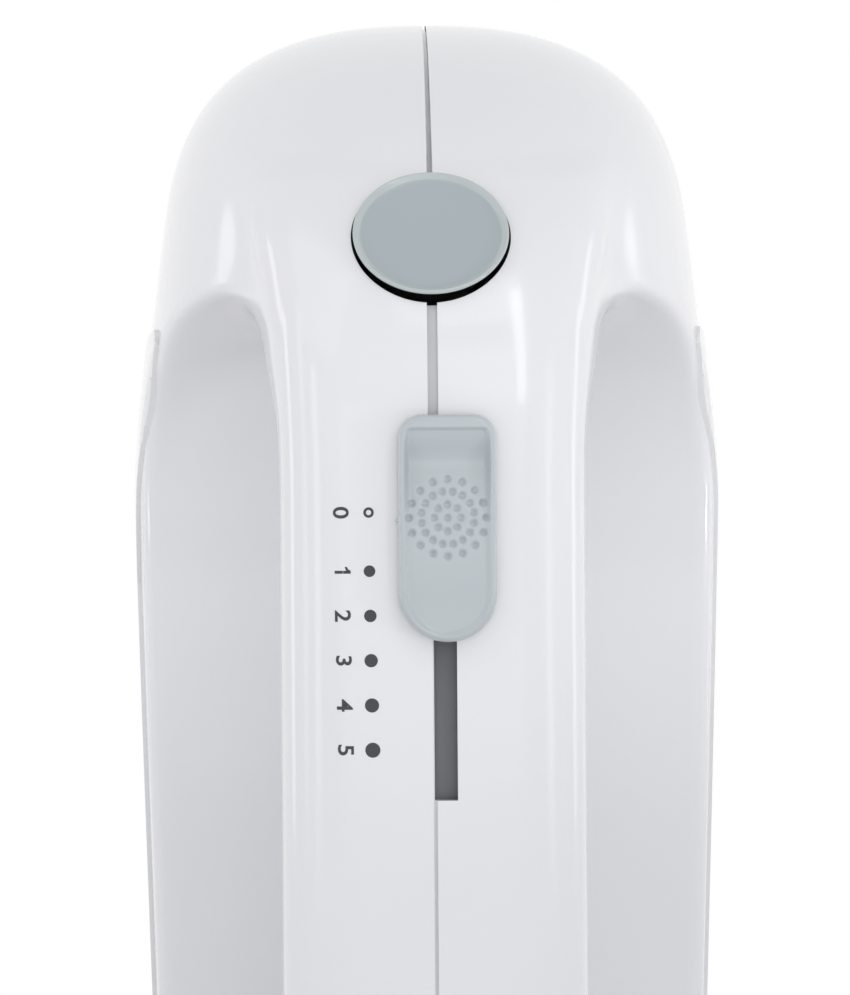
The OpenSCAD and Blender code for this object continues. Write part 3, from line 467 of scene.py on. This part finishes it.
def build_halves():
    """Both halves, each built on the +X side; the left one is mirrored at the end."""
    fine = 0.85
    outer = extract(form_field, fine)
    inset = extract(form_field, 1.2, level=-SEAM_DEPTH)
    inner = extract(form_field, 2.0, level=-WALL)
    band = extract(form_field, fine, level=BAND_RISE)
    drive = along_y(DRIVE_X, BELLY_Y, DRIVE_Z)
    halves = {}
    for s, name in ((-1, "left_shell"), (1, "right_shell")):
        half = right_of(SEAM_W / 2, outer, name)
        half = boolean(half, groove_cut(), "DIFFERENCE")
        strip = boolean(piece("band", *band), side_prism(BAND_RIM, BAND_FROM, FAR_SIDE), "INTERSECT")
        half = boolean(half, strip, "UNION")
        # a core that reaches the middle fills the seam up to its depth
        half = boolean(half, right_of(0, inset), "UNION")
        half = boolean(half, piece("inner", *inner), "DIFFERENCE")
        bosses = merged([place(rod(BOSS_R, 0, 60), along_x(0, y, z)) for y, z in SCREWS])
        half = boolean(half, boolean(bosses, right_of(0, inset), "INTERSECT"), "UNION")
        well = place(rod(BUTTON_D / 2 + BUTTON_GAP + WELL_WALL, -9, 3), AT_BUTTON)
        half = boolean(half, boolean(well, right_of(0, inset), "INTERSECT"), "UNION")
        half = boolean(half, place(lathe(COLLAR), drive), "UNION")
        cuts = [place(rod(SPINDLE_D / 2 + SPINDLE_ROOM, -12, 8), drive)]
        cuts += [vent_cut(VENT_Z + k * VENT_PITCH) for k in range(VENTS)]
        half = boolean(half, merged(cuts), "DIFFERENCE")
        if s > 0:
            ways = [place(rod(SCREW_WAY_R, 12, 60, 40), along_x(0, y, z)) for y, z in SCREWS]
            half = boolean(half, merged(ways), "DIFFERENCE")
        half = boolean(half, place(rod(BUTTON_D / 2 + WELL_GAP, -11, 20, 128), AT_BUTTON), "DIFFERENCE")
        slot = block(SLIDER_X * s - SLOT_W / 2, -CROWN_Y - 6, SLOT_REAR,
                     SLIDER_X * s + SLOT_W / 2, -CROWN_Y + WALL + 2, SLOT_FRONT)
        half = boolean(half, slot, "DIFFERENCE")
        half = boolean(half, place(rod(GLAND_R, -20, 20), gland_axis()), "DIFFERENCE")
        if s < 0:
            place(half, Matrix.Scale(-1, 4, (1, 0, 0)))
        halves[s] = sharpen(half, 34)
    return halves[-1], halves[1]


# ------------------------------------------------------------------ materials
def node_mat(name, color, rough, metal=0.0, coat=0.0, coat_rough=0.05, bump=0.0, scale=400.0,
             stretch=(1, 1, 1), vary=0.03, rough_vary=0.04, wave=None):
    """A Principled material with fine grain: colour and roughness vary a little, and bump adds texture."""
    m = bpy.data.materials.new(name)
    m.use_nodes = True
    nt = m.node_tree
    nt.nodes.clear()
    new, link = nt.nodes.new, nt.links.new
    out = new("ShaderNodeOutputMaterial")
    bsdf = new("ShaderNodeBsdfPrincipled")
    link(bsdf.outputs[0], out.inputs[0])
    for key, value in (("Metallic", metal), ("Coat Weight", coat), ("Coat Roughness", coat_rough)):
        bsdf.inputs[key].default_value = value
    coord = new("ShaderNodeTexCoord")
    mapping = new("ShaderNodeMapping")
    mapping.inputs["Scale"].default_value = stretch
    link(coord.outputs["Object"], mapping.inputs[0])
    fine, broad = new("ShaderNodeTexNoise"), new("ShaderNodeTexNoise")
    for noise, size, detail, space in ((fine, scale, 4, mapping.outputs[0]),
                                       (broad, 24, 2, coord.outputs["Object"])):
        noise.inputs["Scale"].default_value, noise.inputs["Detail"].default_value = size, detail
        link(space, noise.inputs["Vector"])
    ramp = new("ShaderNodeValToRGB")
    ramp.color_ramp.elements[0].position, ramp.color_ramp.elements[1].position = 0.3, 0.7
    ramp.color_ramp.elements[0].color = tuple(c * (1 - vary) for c in color) + (1,)
    ramp.color_ramp.elements[1].color = tuple(min(1, c * (1 + vary)) for c in color) + (1,)
    link(broad.outputs["Fac"], ramp.inputs[0])
    link(ramp.outputs[0], bsdf.inputs["Base Color"])
    rng = new("ShaderNodeMapRange")
    rng.inputs["To Min"].default_value = max(0.02, rough - rough_vary)
    rng.inputs["To Max"].default_value = rough + rough_vary
    link(fine.outputs["Fac"], rng.inputs["Value"])
    link(rng.outputs[0], bsdf.inputs["Roughness"])
    height = fine.outputs["Fac"]
    if wave:
        w = new("ShaderNodeTexWave")
        w.bands_direction = wave[0]
        w.inputs["Scale"].default_value = wave[1]
        w.inputs["Distortion"].default_value = 0.4
        link(coord.outputs["Object"], w.inputs["Vector"])
        height = w.outputs["Fac"]
    if bump:
        b = new("ShaderNodeBump")
        b.inputs["Strength"].default_value = bump
        b.inputs["Distance"].default_value = 0.0002
        link(height, b.inputs["Height"])
        link(b.outputs[0], bsdf.inputs["Normal"])
    return m


WHITE = node_mat("gloss_white_plastic", (0.80, 0.80, 0.82), 0.14, coat=0.3, coat_rough=0.06, bump=0.02,
                 scale=260, vary=0.008, rough_vary=0.03)
GREY = node_mat("grey_satin_plastic", (0.39, 0.44, 0.46), 0.30, bump=0.05, scale=900, vary=0.012,
                rough_vary=0.05)
# the button's rim: a lighter copy of the button's grey, which is painted highlight, with a real polish in its
# roughness and coat
RIM = node_mat("grey_polished_plastic_painted_highlight", (0.48, 0.53, 0.53), 0.22, coat=0.2, bump=0.02, scale=900,
               vary=0.01, rough_vary=0.03)
GREY_GLOSS = node_mat("grey_gloss_plastic", (0.47, 0.515, 0.54), 0.20, coat=0.6, coat_rough=0.05, bump=0.03,
                      scale=700, vary=0.012, rough_vary=0.04)
# the slider carriage seen through the slot: a dark grey, darkened to the slot's shaded tone, so partly painted
# shade
SHADE = node_mat("dark_grey_plastic_painted_shade", (0.19, 0.195, 0.205), 0.36, bump=0.06, scale=1100, vary=0.04,
                 rough_vary=0.06)
# black plastic for the yoke and the fan; on the button's skirt it is painted shade for the dark gap under the
# cap
BLACK_AND_PAINTED_SHADE = node_mat("black_plastic", (0.022, 0.022, 0.024), 0.42, bump=0.08, scale=1200, vary=0.15,
                 rough_vary=0.08)
NYLON = node_mat("natural_nylon", (0.78, 0.76, 0.68), 0.38, bump=0.05, scale=800, rough_vary=0.06)
BOARD = node_mat("switch_board", (0.30, 0.17, 0.07), 0.55, bump=0.2, scale=160, stretch=(1, 1, 9), vary=0.12)
LAMINATION = node_mat("laminated_iron", (0.23, 0.23, 0.25), 0.45, metal=1, bump=0.5, vary=0.1,
                      wave=("Z", 620))
CAST = node_mat("frame_metal", (0.46, 0.46, 0.48), 0.42, metal=1, bump=0.25, scale=900, vary=0.06,
                rough_vary=0.1)
STEEL = node_mat("bright_steel", (0.56, 0.56, 0.58), 0.24, metal=1, bump=0.04, scale=300,
                 stretch=(1, 12, 1), vary=0.04, rough_vary=0.06)
CHROME = node_mat("chrome_steel", (0.58, 0.59, 0.61), 0.15, metal=1, bump=0.015, scale=240,
                  stretch=(1, 8, 1), vary=0.02, rough_vary=0.03)
COPPER = node_mat("enamelled_copper", (0.46, 0.17, 0.07), 0.28, metal=1, bump=0.7, vary=0.08, wave=("Z", 480))
BRIGHT_COPPER = node_mat("copper_strip", (0.62, 0.28, 0.15), 0.25, metal=1, bump=0.03, scale=500, vary=0.05)
BRONZE = node_mat("sintered_bronze", (0.44, 0.29, 0.13), 0.4, metal=1, bump=0.15, scale=1500, vary=0.08)
CARBON = node_mat("brush_carbon", (0.03, 0.03, 0.033), 0.5, bump=0.2, scale=1500, vary=0.2)
FOIL = node_mat("capacitor_case", (0.62, 0.42, 0.08), 0.35, bump=0.05, scale=300, vary=0.04)
# the grey of the groove's floor between slider and button is painted shade, not a strip of its own
GROOVE_SHADE = node_mat("groove_painted_shade", (0.56, 0.57, 0.58), 0.3, bump=0.03, scale=900, vary=0.01, rough_vary=0.04)
INK = node_mat("scale_ink", (0.045, 0.045, 0.05), 0.4, bump=0.05, scale=2500, vary=0.1)

NODE_MATERIAL = {
    WHITE: ["left_housing", "right_housing"],
    GREY: ["eject_button", "cord_gland"],
    GREY_GLOSS: ["speed_slider"],
    SHADE: ["slider_carriage"],
    BLACK_AND_PAINTED_SHADE: ["ejector_yoke", "cooling_fan"],
    NYLON: ["left_worm_gear", "right_worm_gear"],
    BOARD: ["switch_base"],
    LAMINATION: ["stator_core", "armature_core"],
    CAST: ["front_bracket", "rear_bracket", "gear_frame", "gear_cover"],
    STEEL: ["housing_screws", "bracket_screws", "gear_screws", "motor_shaft", "worm", "ejector_spring",
            "left_spindle", "right_spindle"],
    CHROME: ["left_beater_stem", "right_beater_stem", "left_beater_cage", "right_beater_cage"],
    COPPER: ["left_field_coil", "right_field_coil", "armature_winding"],
    BRIGHT_COPPER: ["commutator", "switch_contacts", "contact_wiper"],
    BRONZE: ["front_bearing", "rear_bearing", "nose_bearing", "spindle_bushes", "brush_holders"],
    CARBON: ["left_brush", "right_brush"],
    FOIL: ["noise_capacitor"],
}
for mat, names in NODE_MATERIAL.items():
    for node in names:
        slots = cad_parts[node].data.materials
        for i in range(max(1, len(slots))):
            if len(slots) > i:
                slots[i] = mat
            else:
                slots.append(mat)

# ------------------------------------------------------------------ put the shells in place
left, right = build_halves()
for ob, node in ((left, "left_housing"), (right, "right_housing")):
    ob.data.materials.clear()
    ob.data.materials.append(WHITE)
    ob.data.materials.append(GROOVE_SHADE)
    # the groove's floor between the slider and the button is grey: painted shade for a deeper groove
    for face in ob.data.polygons:
        at = face.center * 1000
        in_groove = abs(at.x) < WIDE_GROOVE_HALF and OFF_Z < at.z < BUTTON_Z and at.y > crown(at.z) + 0.3
        face.material_index = int(in_groove and face.normal.y < -0.7)
    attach(ob, "housing")
    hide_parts(node)

# ------------------------------------------------------------------ eject button
cap_r, top = BUTTON_D / 2 - CAP_SHRINK, BUTTON_RISE - CAP_SINK
STEM_R, EDGE_R, DISH_R, DISH_DEPTH = 4, 0.3, cap_r - 1.5, 0.22
# from the stem's foot up the skirt, round the edge, then over the rim into the dish
profile = [(0, top - 9), (3.4, top - 8.2), (STEM_R, top - 6.5), (STEM_R, top - BUTTON_THICK),
           (cap_r - 2.6, top - BUTTON_THICK), (cap_r - 2.3, top - 1.2), (cap_r - 0.45, top - 0.95)]
profile += [(cap_r - EDGE_R + EDGE_R * math.cos(t), top - EDGE_R + EDGE_R * math.sin(t))
            for t in np.linspace(-0.9, 1.8, 12)]
profile += [(cap_r - 0.75, top - 0.35), (cap_r - 0.95, top - 0.5), (cap_r - 1.2, top - 0.58)]
profile += [(r, top - 0.62 - DISH_DEPTH * (1 - (r / DISH_R) ** 2)) for r in np.linspace(DISH_R, 0, 14)]
button = place(lathe(profile, 128, "button_cap"), AT_BUTTON)
# the face keeps the button's grey; the rim takes the lighter grey of painted highlight
for mat in (GREY, RIM, BLACK_AND_PAINTED_SHADE):
    button.data.materials.append(mat)
to_button = AT_BUTTON.inverted()
# the skirt under the cap's lip is black: painted shade for the dark gap round the cap
for face in button.data.polygons:
    at = (to_button @ face.center) * 1000
    r = math.hypot(at.x, at.y)
    on_rim, skirt_painted_shade = r > cap_r - 1 and at.z > top - 0.7, r > STEM_R and at.z < top - 0.9
    face.material_index = 1 if on_rim else 2 if skirt_painted_shade else 0
sharpen(button, 70)
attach(button, "button")
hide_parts("eject_button")

# ------------------------------------------------------------------ ejector spring, pressed by the yoke
near, far = (v * 1000 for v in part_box("ejector_spring"))
mid_x, mid_z = (near.x + far.x) / 2, (near.z + far.z) / 2
WIRE, TURNS, YOKE_TRAVEL = 0.4, 3.5, 4.9
coil_r = (far.x - near.x) / 2 - WIRE
verts, faces, steps, sides = [], [], 168, 14
for i in range(steps + 1):
    t = 2 * math.pi * TURNS * i / steps
    y = near.y + WIRE + (far.y - near.y - 2 * WIRE) * i / steps
    for k in range(sides):
        a = 2 * math.pi * k / sides
        r = coil_r + WIRE * math.cos(a)
        verts.append((mid_x + r * math.cos(t), y - WIRE * math.sin(a), mid_z + r * math.sin(t)))
        if i < steps:
            j, m = i * sides + k, i * sides + (k + 1) % sides
            faces.append((j, m, m + sides, j + sides))
faces += [list(range(sides))[::-1], list(range(steps * sides, (steps + 1) * sides))]
spring = sharpen(piece("spring_coil", verts, faces), 60)
spring.data.materials.append(STEEL)
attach(spring, "housing")
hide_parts("ejector_spring")
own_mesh(spring)

# ------------------------------------------------------------------ speed slider
CAP_X, CAP_FRONT, PAD_Z = SLIDER_X + 0.35, OFF_Z + 13, OFF_Z - 0.35
LIP, SCOOP, CAP_EDGE, CAP_SKIRT, DIMPLE_R, DIMPLE_DEPTH = 0.5, 1.3, 0.95, 0.12, 0.58, 0.46
NECK_HALF = 1.25


def slider_mesh():
    """The cap: rounded front corners and a round rear, a lip in front, a scooped and dimpled top."""
    half, r_rear, r_front = SLIDER_W / 2, SLIDER_W / 2, 3.0
    front, rear = CAP_FRONT, CAP_FRONT - SLIDER_LEN

    def width(z):
        """Half the cap's width."""
        w = half
        if z < rear + r_rear:
            w = math.sqrt(max(0, r_rear**2 - (rear + r_rear - z) ** 2))
        if z > front - r_front:
            w = half - r_front + math.sqrt(max(0, r_front**2 - (z - front + r_front) ** 2))
        return w

    dimples = [(0, 0)]
    for count, radius, turn in ((8, 1.72, 0), (16, 3.45, 0.5), (16, 5.0, 0)):
        angles = [2 * math.pi * (i + turn) / count for i in range(count)]
        dimples += [(radius * math.sin(a), radius * math.cos(a)) for a in angles]
    rows, cols = ((230, 150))
    bow = np.linspace(0.03, math.pi / 2, rows // 5)
    zs = np.concatenate([rear + r_rear * (1 - np.cos(bow)),
                         np.linspace(rear + r_rear, front - r_front, rows - 2 * len(bow))[1:-1],
                         front - r_front * (1 - np.cos(bow[::-1]))])
    u = np.linspace(-1, 1, cols)
    u = np.sign(u) * (1 - (1 - np.abs(u)) ** 1.35)
    z = np.repeat(zs[:, None], cols, 1)
    w = np.array([width(v) for v in zs])[:, None]
    x = w * u[None, :]
    # distance to the outline, for the rounded edge
    q = np.maximum(0, np.where(z < rear + r_rear, rear + r_rear - z, 0))
    edge_rear = r_rear - np.hypot(x, q)
    cx, cz = np.abs(x) - (half - r_front), z - (front - r_front)
    corner = np.where((cx > 0) & (cz > 0), r_front - np.hypot(np.maximum(cx, 0), np.maximum(cz, 0)),
                      np.minimum(half - np.abs(x), front - z))
    edge = np.clip(np.where(z < rear + r_rear, edge_rear, corner), 0, None)
    # height of the top over the handle: lip, small step behind it, then a scoop
    s = front - z
    top = SLIDER_RISE - LIP * ease(1.6, 2.1, s) - SCOOP * ease(1.9, 6.1, s) + SCOOP * ease(6.3, 15, s)
    h = SLIDER_RISE + (top - SLIDER_RISE) * ease(0.5, 1.5, edge)
    h = h - 0.35 * ease(16, 29, s)
    e = np.clip(edge / CAP_EDGE, 0, 1)
    h = h - CAP_EDGE * (1 - np.sqrt(1 - (1 - e) ** 2))
    for dx, dz in dimples:
        d = np.hypot(x - dx, z - PAD_Z - dz)
        h = h - DIMPLE_DEPTH * np.clip(1 - (d / DIMPLE_R) ** 2, 0, None) ** 1.2
    y = -CROWN_Y - h
    verts = np.stack([x + CAP_X, y, z], -1).reshape(-1, 3)
    flare = 1 + CAP_SKIRT / half
    base = np.stack([x * flare + CAP_X, np.full_like(y, -CROWN_Y - CAP_SKIRT), z], -1).reshape(-1, 3)
    n, m = z.shape
    idx = np.arange(n * m).reshape(n, m)
    faces = [(idx[i, j], idx[i, j + 1], idx[i + 1, j + 1], idx[i + 1, j])
             for i in range(n - 1) for j in range(m - 1)]
    loop = list(idx[0]) + list(idx[1:, -1]) + list(idx[-1, -2::-1]) + list(idx[-2:0:-1, 0])
    k = n * m
    low = {v: k + i for i, v in enumerate(loop)}
    verts = np.concatenate([verts, base[loop]])
    for a, b in zip(loop, loop[1:] + loop[:1]):
        faces.append((b, a, low[a], low[b]))
    faces.append([low[v] for v in loop])
    return piece("slider_cap", verts, faces)


slider = sharpen(slider_mesh(), 60)
slider.data.materials.append(GREY_GLOSS)
neck = block(SLIDER_X - NECK_HALF, -CROWN_Y - 1, OFF_Z - 6,
             SLIDER_X + NECK_HALF, -CROWN_Y + WALL + 0.9, OFF_Z)
neck.name = "slider_neck"
neck.data.materials.append(GREY_GLOSS)
edge = CAP_X - SLIDER_W / 2
pointer = piece("slider_pointer", [
    (edge - 0.6, -CROWN_Y - 0.3, OFF_Z - 0.7), (edge + 0.3, -CROWN_Y - 0.9, OFF_Z - 0.1),
    (edge + 0.3, -CROWN_Y - 0.9, OFF_Z - 1.3), (edge + 0.3, -CROWN_Y - 0.2, OFF_Z - 0.7)],
    [(0, 1, 2), (0, 2, 3), (0, 3, 1), (1, 3, 2)], smooth=False)
pointer.data.materials.append(GREY_GLOSS)
for ob in (slider, neck, pointer):
    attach(ob, "slider")
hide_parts("speed_slider")


# ------------------------------------------------------------------ scale beside the slot
INK_RISE = 0.03
# down the scale the marks and numbers step towards the slot, and the dots grow
MARK_X, MARK_DRIFT, RING_R, RING_HOLE, DOT_R, DOT_GROWTH = -8.45, 0.07, 0.68, 0.34, 0.70, 0.055
NUMBER_X, ONE_X, NUMBER_DRIFT, NUMBER_TALL, NUMBER_WIDEN = -12.05, -12.99, 0.09, 2.08, 1.14


def on_handle(verts):
    """Lays points drawn in X and Z on the handle's crown, just proud of it."""
    out = []
    for x, z in verts:
        lo, hi = -CROWN_Y - 1.0, -CROWN_Y + 8.0
        for _ in range(24):
            mid = (lo + hi) / 2
            if handle_field(np.array(x), np.array(mid), np.array(z)) > 0:
                lo = mid
            else:
                hi = mid
        out.append((x, lo - INK_RISE, z))
    return out


def scale_piece(name, verts, faces):
    """A printed mark on the housing."""
    ob = piece(name, on_handle(verts), faces, smooth=False)
    ob.data.materials.append(INK)
    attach(ob, "housing")


def disc(x, z, r, hole=0.0, n=40):
    """A round mark, or a ring where it has a hole."""
    turns = np.linspace(0, 2 * math.pi, n, False)
    v = [(x + q * math.sin(a), z + q * math.cos(a)) for q in ((r, hole) if hole else (r,)) for a in turns]
    f = [(i, (i + 1) % n, n + (i + 1) % n, n + i) for i in range(n)] if hole else [list(range(n))]
    return v, f


def one(z):
    """The figure 1: a stem and a slanting flag, drawn upright and turned to read from the right."""
    shape = [(-0.17, 0), (0.22, 0), (0.22, NUMBER_TALL), (-0.17, NUMBER_TALL), (-0.17, 1.5), (-0.66, 1.28),
             (-0.66, 1.6), (-0.34, 1.76)]
    return [(ONE_X + NUMBER_DRIFT + v, z - 0.1 - u) for u, v in shape], [(0, 1, 2, 3), (3, 4, 5, 6, 7)]


def figure(k, z):
    """Any other figure, from the built-in font."""
    curve = bpy.data.curves.new(f"digit_{k}", "FONT")
    curve.body, curve.size, curve.align_x, curve.align_y = str(k), 2.9, "CENTER", "CENTER"
    curve.resolution_u, curve.offset = 6, 0.05
    holder = bpy.data.objects.new(f"digit_{k}", curve)
    bpy.context.scene.collection.objects.link(holder)
    bpy.context.view_layer.update()
    me = bpy.data.meshes.new_from_object(holder.evaluated_get(bpy.context.evaluated_depsgraph_get()))
    co = np.array([v.co for v in me.vertices])
    mid = (co.min(0) + co.max(0)) / 2
    tall = co[:, 1].max() - co[:, 1].min()
    co = (co - mid) * (NUMBER_TALL / tall)
    v = [(NUMBER_X + NUMBER_DRIFT * k + c[1], z - c[0] * NUMBER_WIDEN) for c in co]
    f = [list(p.vertices) for p in me.polygons]
    bpy.data.objects.remove(holder)
    bpy.data.curves.remove(curve)
    bpy.data.meshes.remove(me)
    return v, f


mark_z = [OFF_Z + 0.4] + [OFF_Z + 0.2 - FIRST_STEP - SPEED_STEP * k for k in range(5)]
for k, z in enumerate(mark_z):
    x = MARK_X + MARK_DRIFT * k
    scale_piece(f"mark_{k}", *(disc(x, z, DOT_R + DOT_GROWTH * k) if k else disc(x, z, RING_R, RING_HOLE)))
    scale_piece(f"number_{k}", *(one(z) if k == 1 else figure(k, z)))

# ------------------------------------------------------------------ camera, lights, floor
scene = bpy.context.scene
cam = bpy.data.objects.new("camera", bpy.data.cameras.new("camera"))
scene.collection.objects.link(cam)
cam.data.sensor_fit = "HORIZONTAL"
cam.data.sensor_width, cam.data.lens, cam.data.clip_start = 36, 176.56941, 0.01
cam.location = (-0.008, -0.606, 0.124)
PAN, TILT, ROLL = (math.radians(v) for v in (-0.73, 90, -0.4))
cam.rotation_euler = (Matrix.Rotation(PAN, 4, "Z") @ Matrix.Rotation(TILT, 4, "X")
                      @ Matrix.Rotation(ROLL, 4, "Z")).to_euler()
scene.camera = cam

world = bpy.data.worlds.new("studio")
scene.world = world
world.use_nodes = True
nt = world.node_tree
nt.nodes.clear()
new, link = nt.nodes.new, nt.links.new
path, out = new("ShaderNodeLightPath"), new("ShaderNodeOutputWorld")
seen, ambient, mix = new("ShaderNodeBackground"), new("ShaderNodeBackground"), new("ShaderNodeMixShader")
seen.inputs[0].default_value = (1, 1, 1, 1)
ambient.inputs[0].default_value = (0.97, 0.98, 1, 1)
ambient.inputs[1].default_value = 0.65
# camera, glossy and transmission rays see a white world
either, both = new("ShaderNodeMath"), new("ShaderNodeMath")
either.operation = both.operation = "MAXIMUM"
link(path.outputs["Is Camera Ray"], either.inputs[0])
link(path.outputs["Is Glossy Ray"], either.inputs[1])
link(either.outputs[0], both.inputs[0])
link(path.outputs["Is Transmission Ray"], both.inputs[1])
link(both.outputs[0], mix.inputs[0])
link(ambient.outputs[0], mix.inputs[1])
link(seen.outputs[0], mix.inputs[2])
link(mix.outputs[0], out.inputs[0])


def aim(name, data, at, look):
    """Stands a light at one point, turned to another."""
    ob = bpy.data.objects.new(name, data)
    scene.collection.objects.link(ob)
    ob.visible_camera = False
    ob.location = at
    ob.rotation_euler = (Vector(look) - Vector(at)).to_track_quat("-Z", "Y").to_euler()


def lamp(name, at, size, watts, look=(0, 0, 0.12)):
    """A softbox."""
    data = bpy.data.lights.new(name, "AREA")
    data.shape, data.size, data.size_y, data.energy = "RECTANGLE", size[0], size[1], watts
    aim(name, data, at, look)


def spot(name, at, look, radius, watts):
    """A soft spot that lights a circle of the radius where it looks."""
    data = bpy.data.lights.new(name, "SPOT")
    reach = Vector(look) - Vector(at)
    data.energy, data.spot_size, data.spot_blend = watts, 2 * math.atan(radius / reach.length), 1
    data.shadow_soft_size = 0.08
    aim(name, data, at, look)


lamp("key", (0.5, -0.95, 0.7), (0.13, 1.0), 1.2)
lamp("box", (0.2, -0.95, 0.45), (0.35, 0.45), 0.3, (0, -0.05, 0.16))
lamp("sky", (0.12, -0.55, 0.75), (0.35, 0.25), 0.25, (0, -0.05, 0.16))
lamp("low", (0, -1.2, 0.05), (1.4, 0.4), 0.84, (0, 0, 0.15))
lamp("right", (1.0, -0.7, 0.1), (0.16, 0.8), 0.36)
lamp("left", (-1.0, -0.7, 0.1), (0.16, 0.8), 0.5)
lamp("fill", (-1.1, -0.3, 0.3), (0.16, 0.9), 0.35)
lamp("over_left", (-0.35, -0.3, 0.55), (0.4, 0.4), 0.24, (0, 0, 0.17))
lamp("rim_left", (-1.0, 0.3, 0.15), (0.16, 0.9), 0.6)
lamp("rim_right", (1.0, 0.3, 0.15), (0.16, 0.9), 0.6)
spot("slope_left", (-0.5, -0.28, 0.05), (-0.03, -0.02, 0.146), 0.034, 4)
spot("slope_right", (0.5, -0.28, 0.05), (0.03, -0.02, 0.146), 0.034, 14)

# the floor shades round the part and fades to white further out
FADE_FROM, FADE_TO, FAR = 0.16, 0.42, 1500
floor = piece("floor", [(-FAR, -FAR, 0), (FAR, -FAR, 0), (FAR, FAR, 0), (-FAR, FAR, 0)], [(0, 1, 2, 3)])
fm = bpy.data.materials.new("floor")
fm.use_nodes = True
nt = fm.node_tree
nt.nodes.clear()
new, link = nt.nodes.new, nt.links.new
out, bsdf, glow, mix = (new("ShaderNodeOutputMaterial"), new("ShaderNodeBsdfPrincipled"),
                        new("ShaderNodeEmission"), new("ShaderNodeMixShader"))
bsdf.inputs["Base Color"].default_value = (0.93, 0.93, 0.94, 1)
bsdf.inputs["Roughness"].default_value = 0.6
coord, length, fade = new("ShaderNodeTexCoord"), new("ShaderNodeVectorMath"), new("ShaderNodeMapRange")
length.operation = "LENGTH"
fade.interpolation_type = "SMOOTHSTEP"
fade.inputs["From Min"].default_value, fade.inputs["From Max"].default_value = FADE_FROM, FADE_TO
link(coord.outputs["Object"], length.inputs[0])
link(length.outputs["Value"], fade.inputs["Value"])
link(fade.outputs[0], mix.inputs[0])
link(bsdf.outputs[0], mix.inputs[1])
link(glow.outputs[0], mix.inputs[2])
link(mix.outputs[0], out.inputs[0])
floor.data.materials.append(fm)

scene.view_settings.view_transform = "Standard"
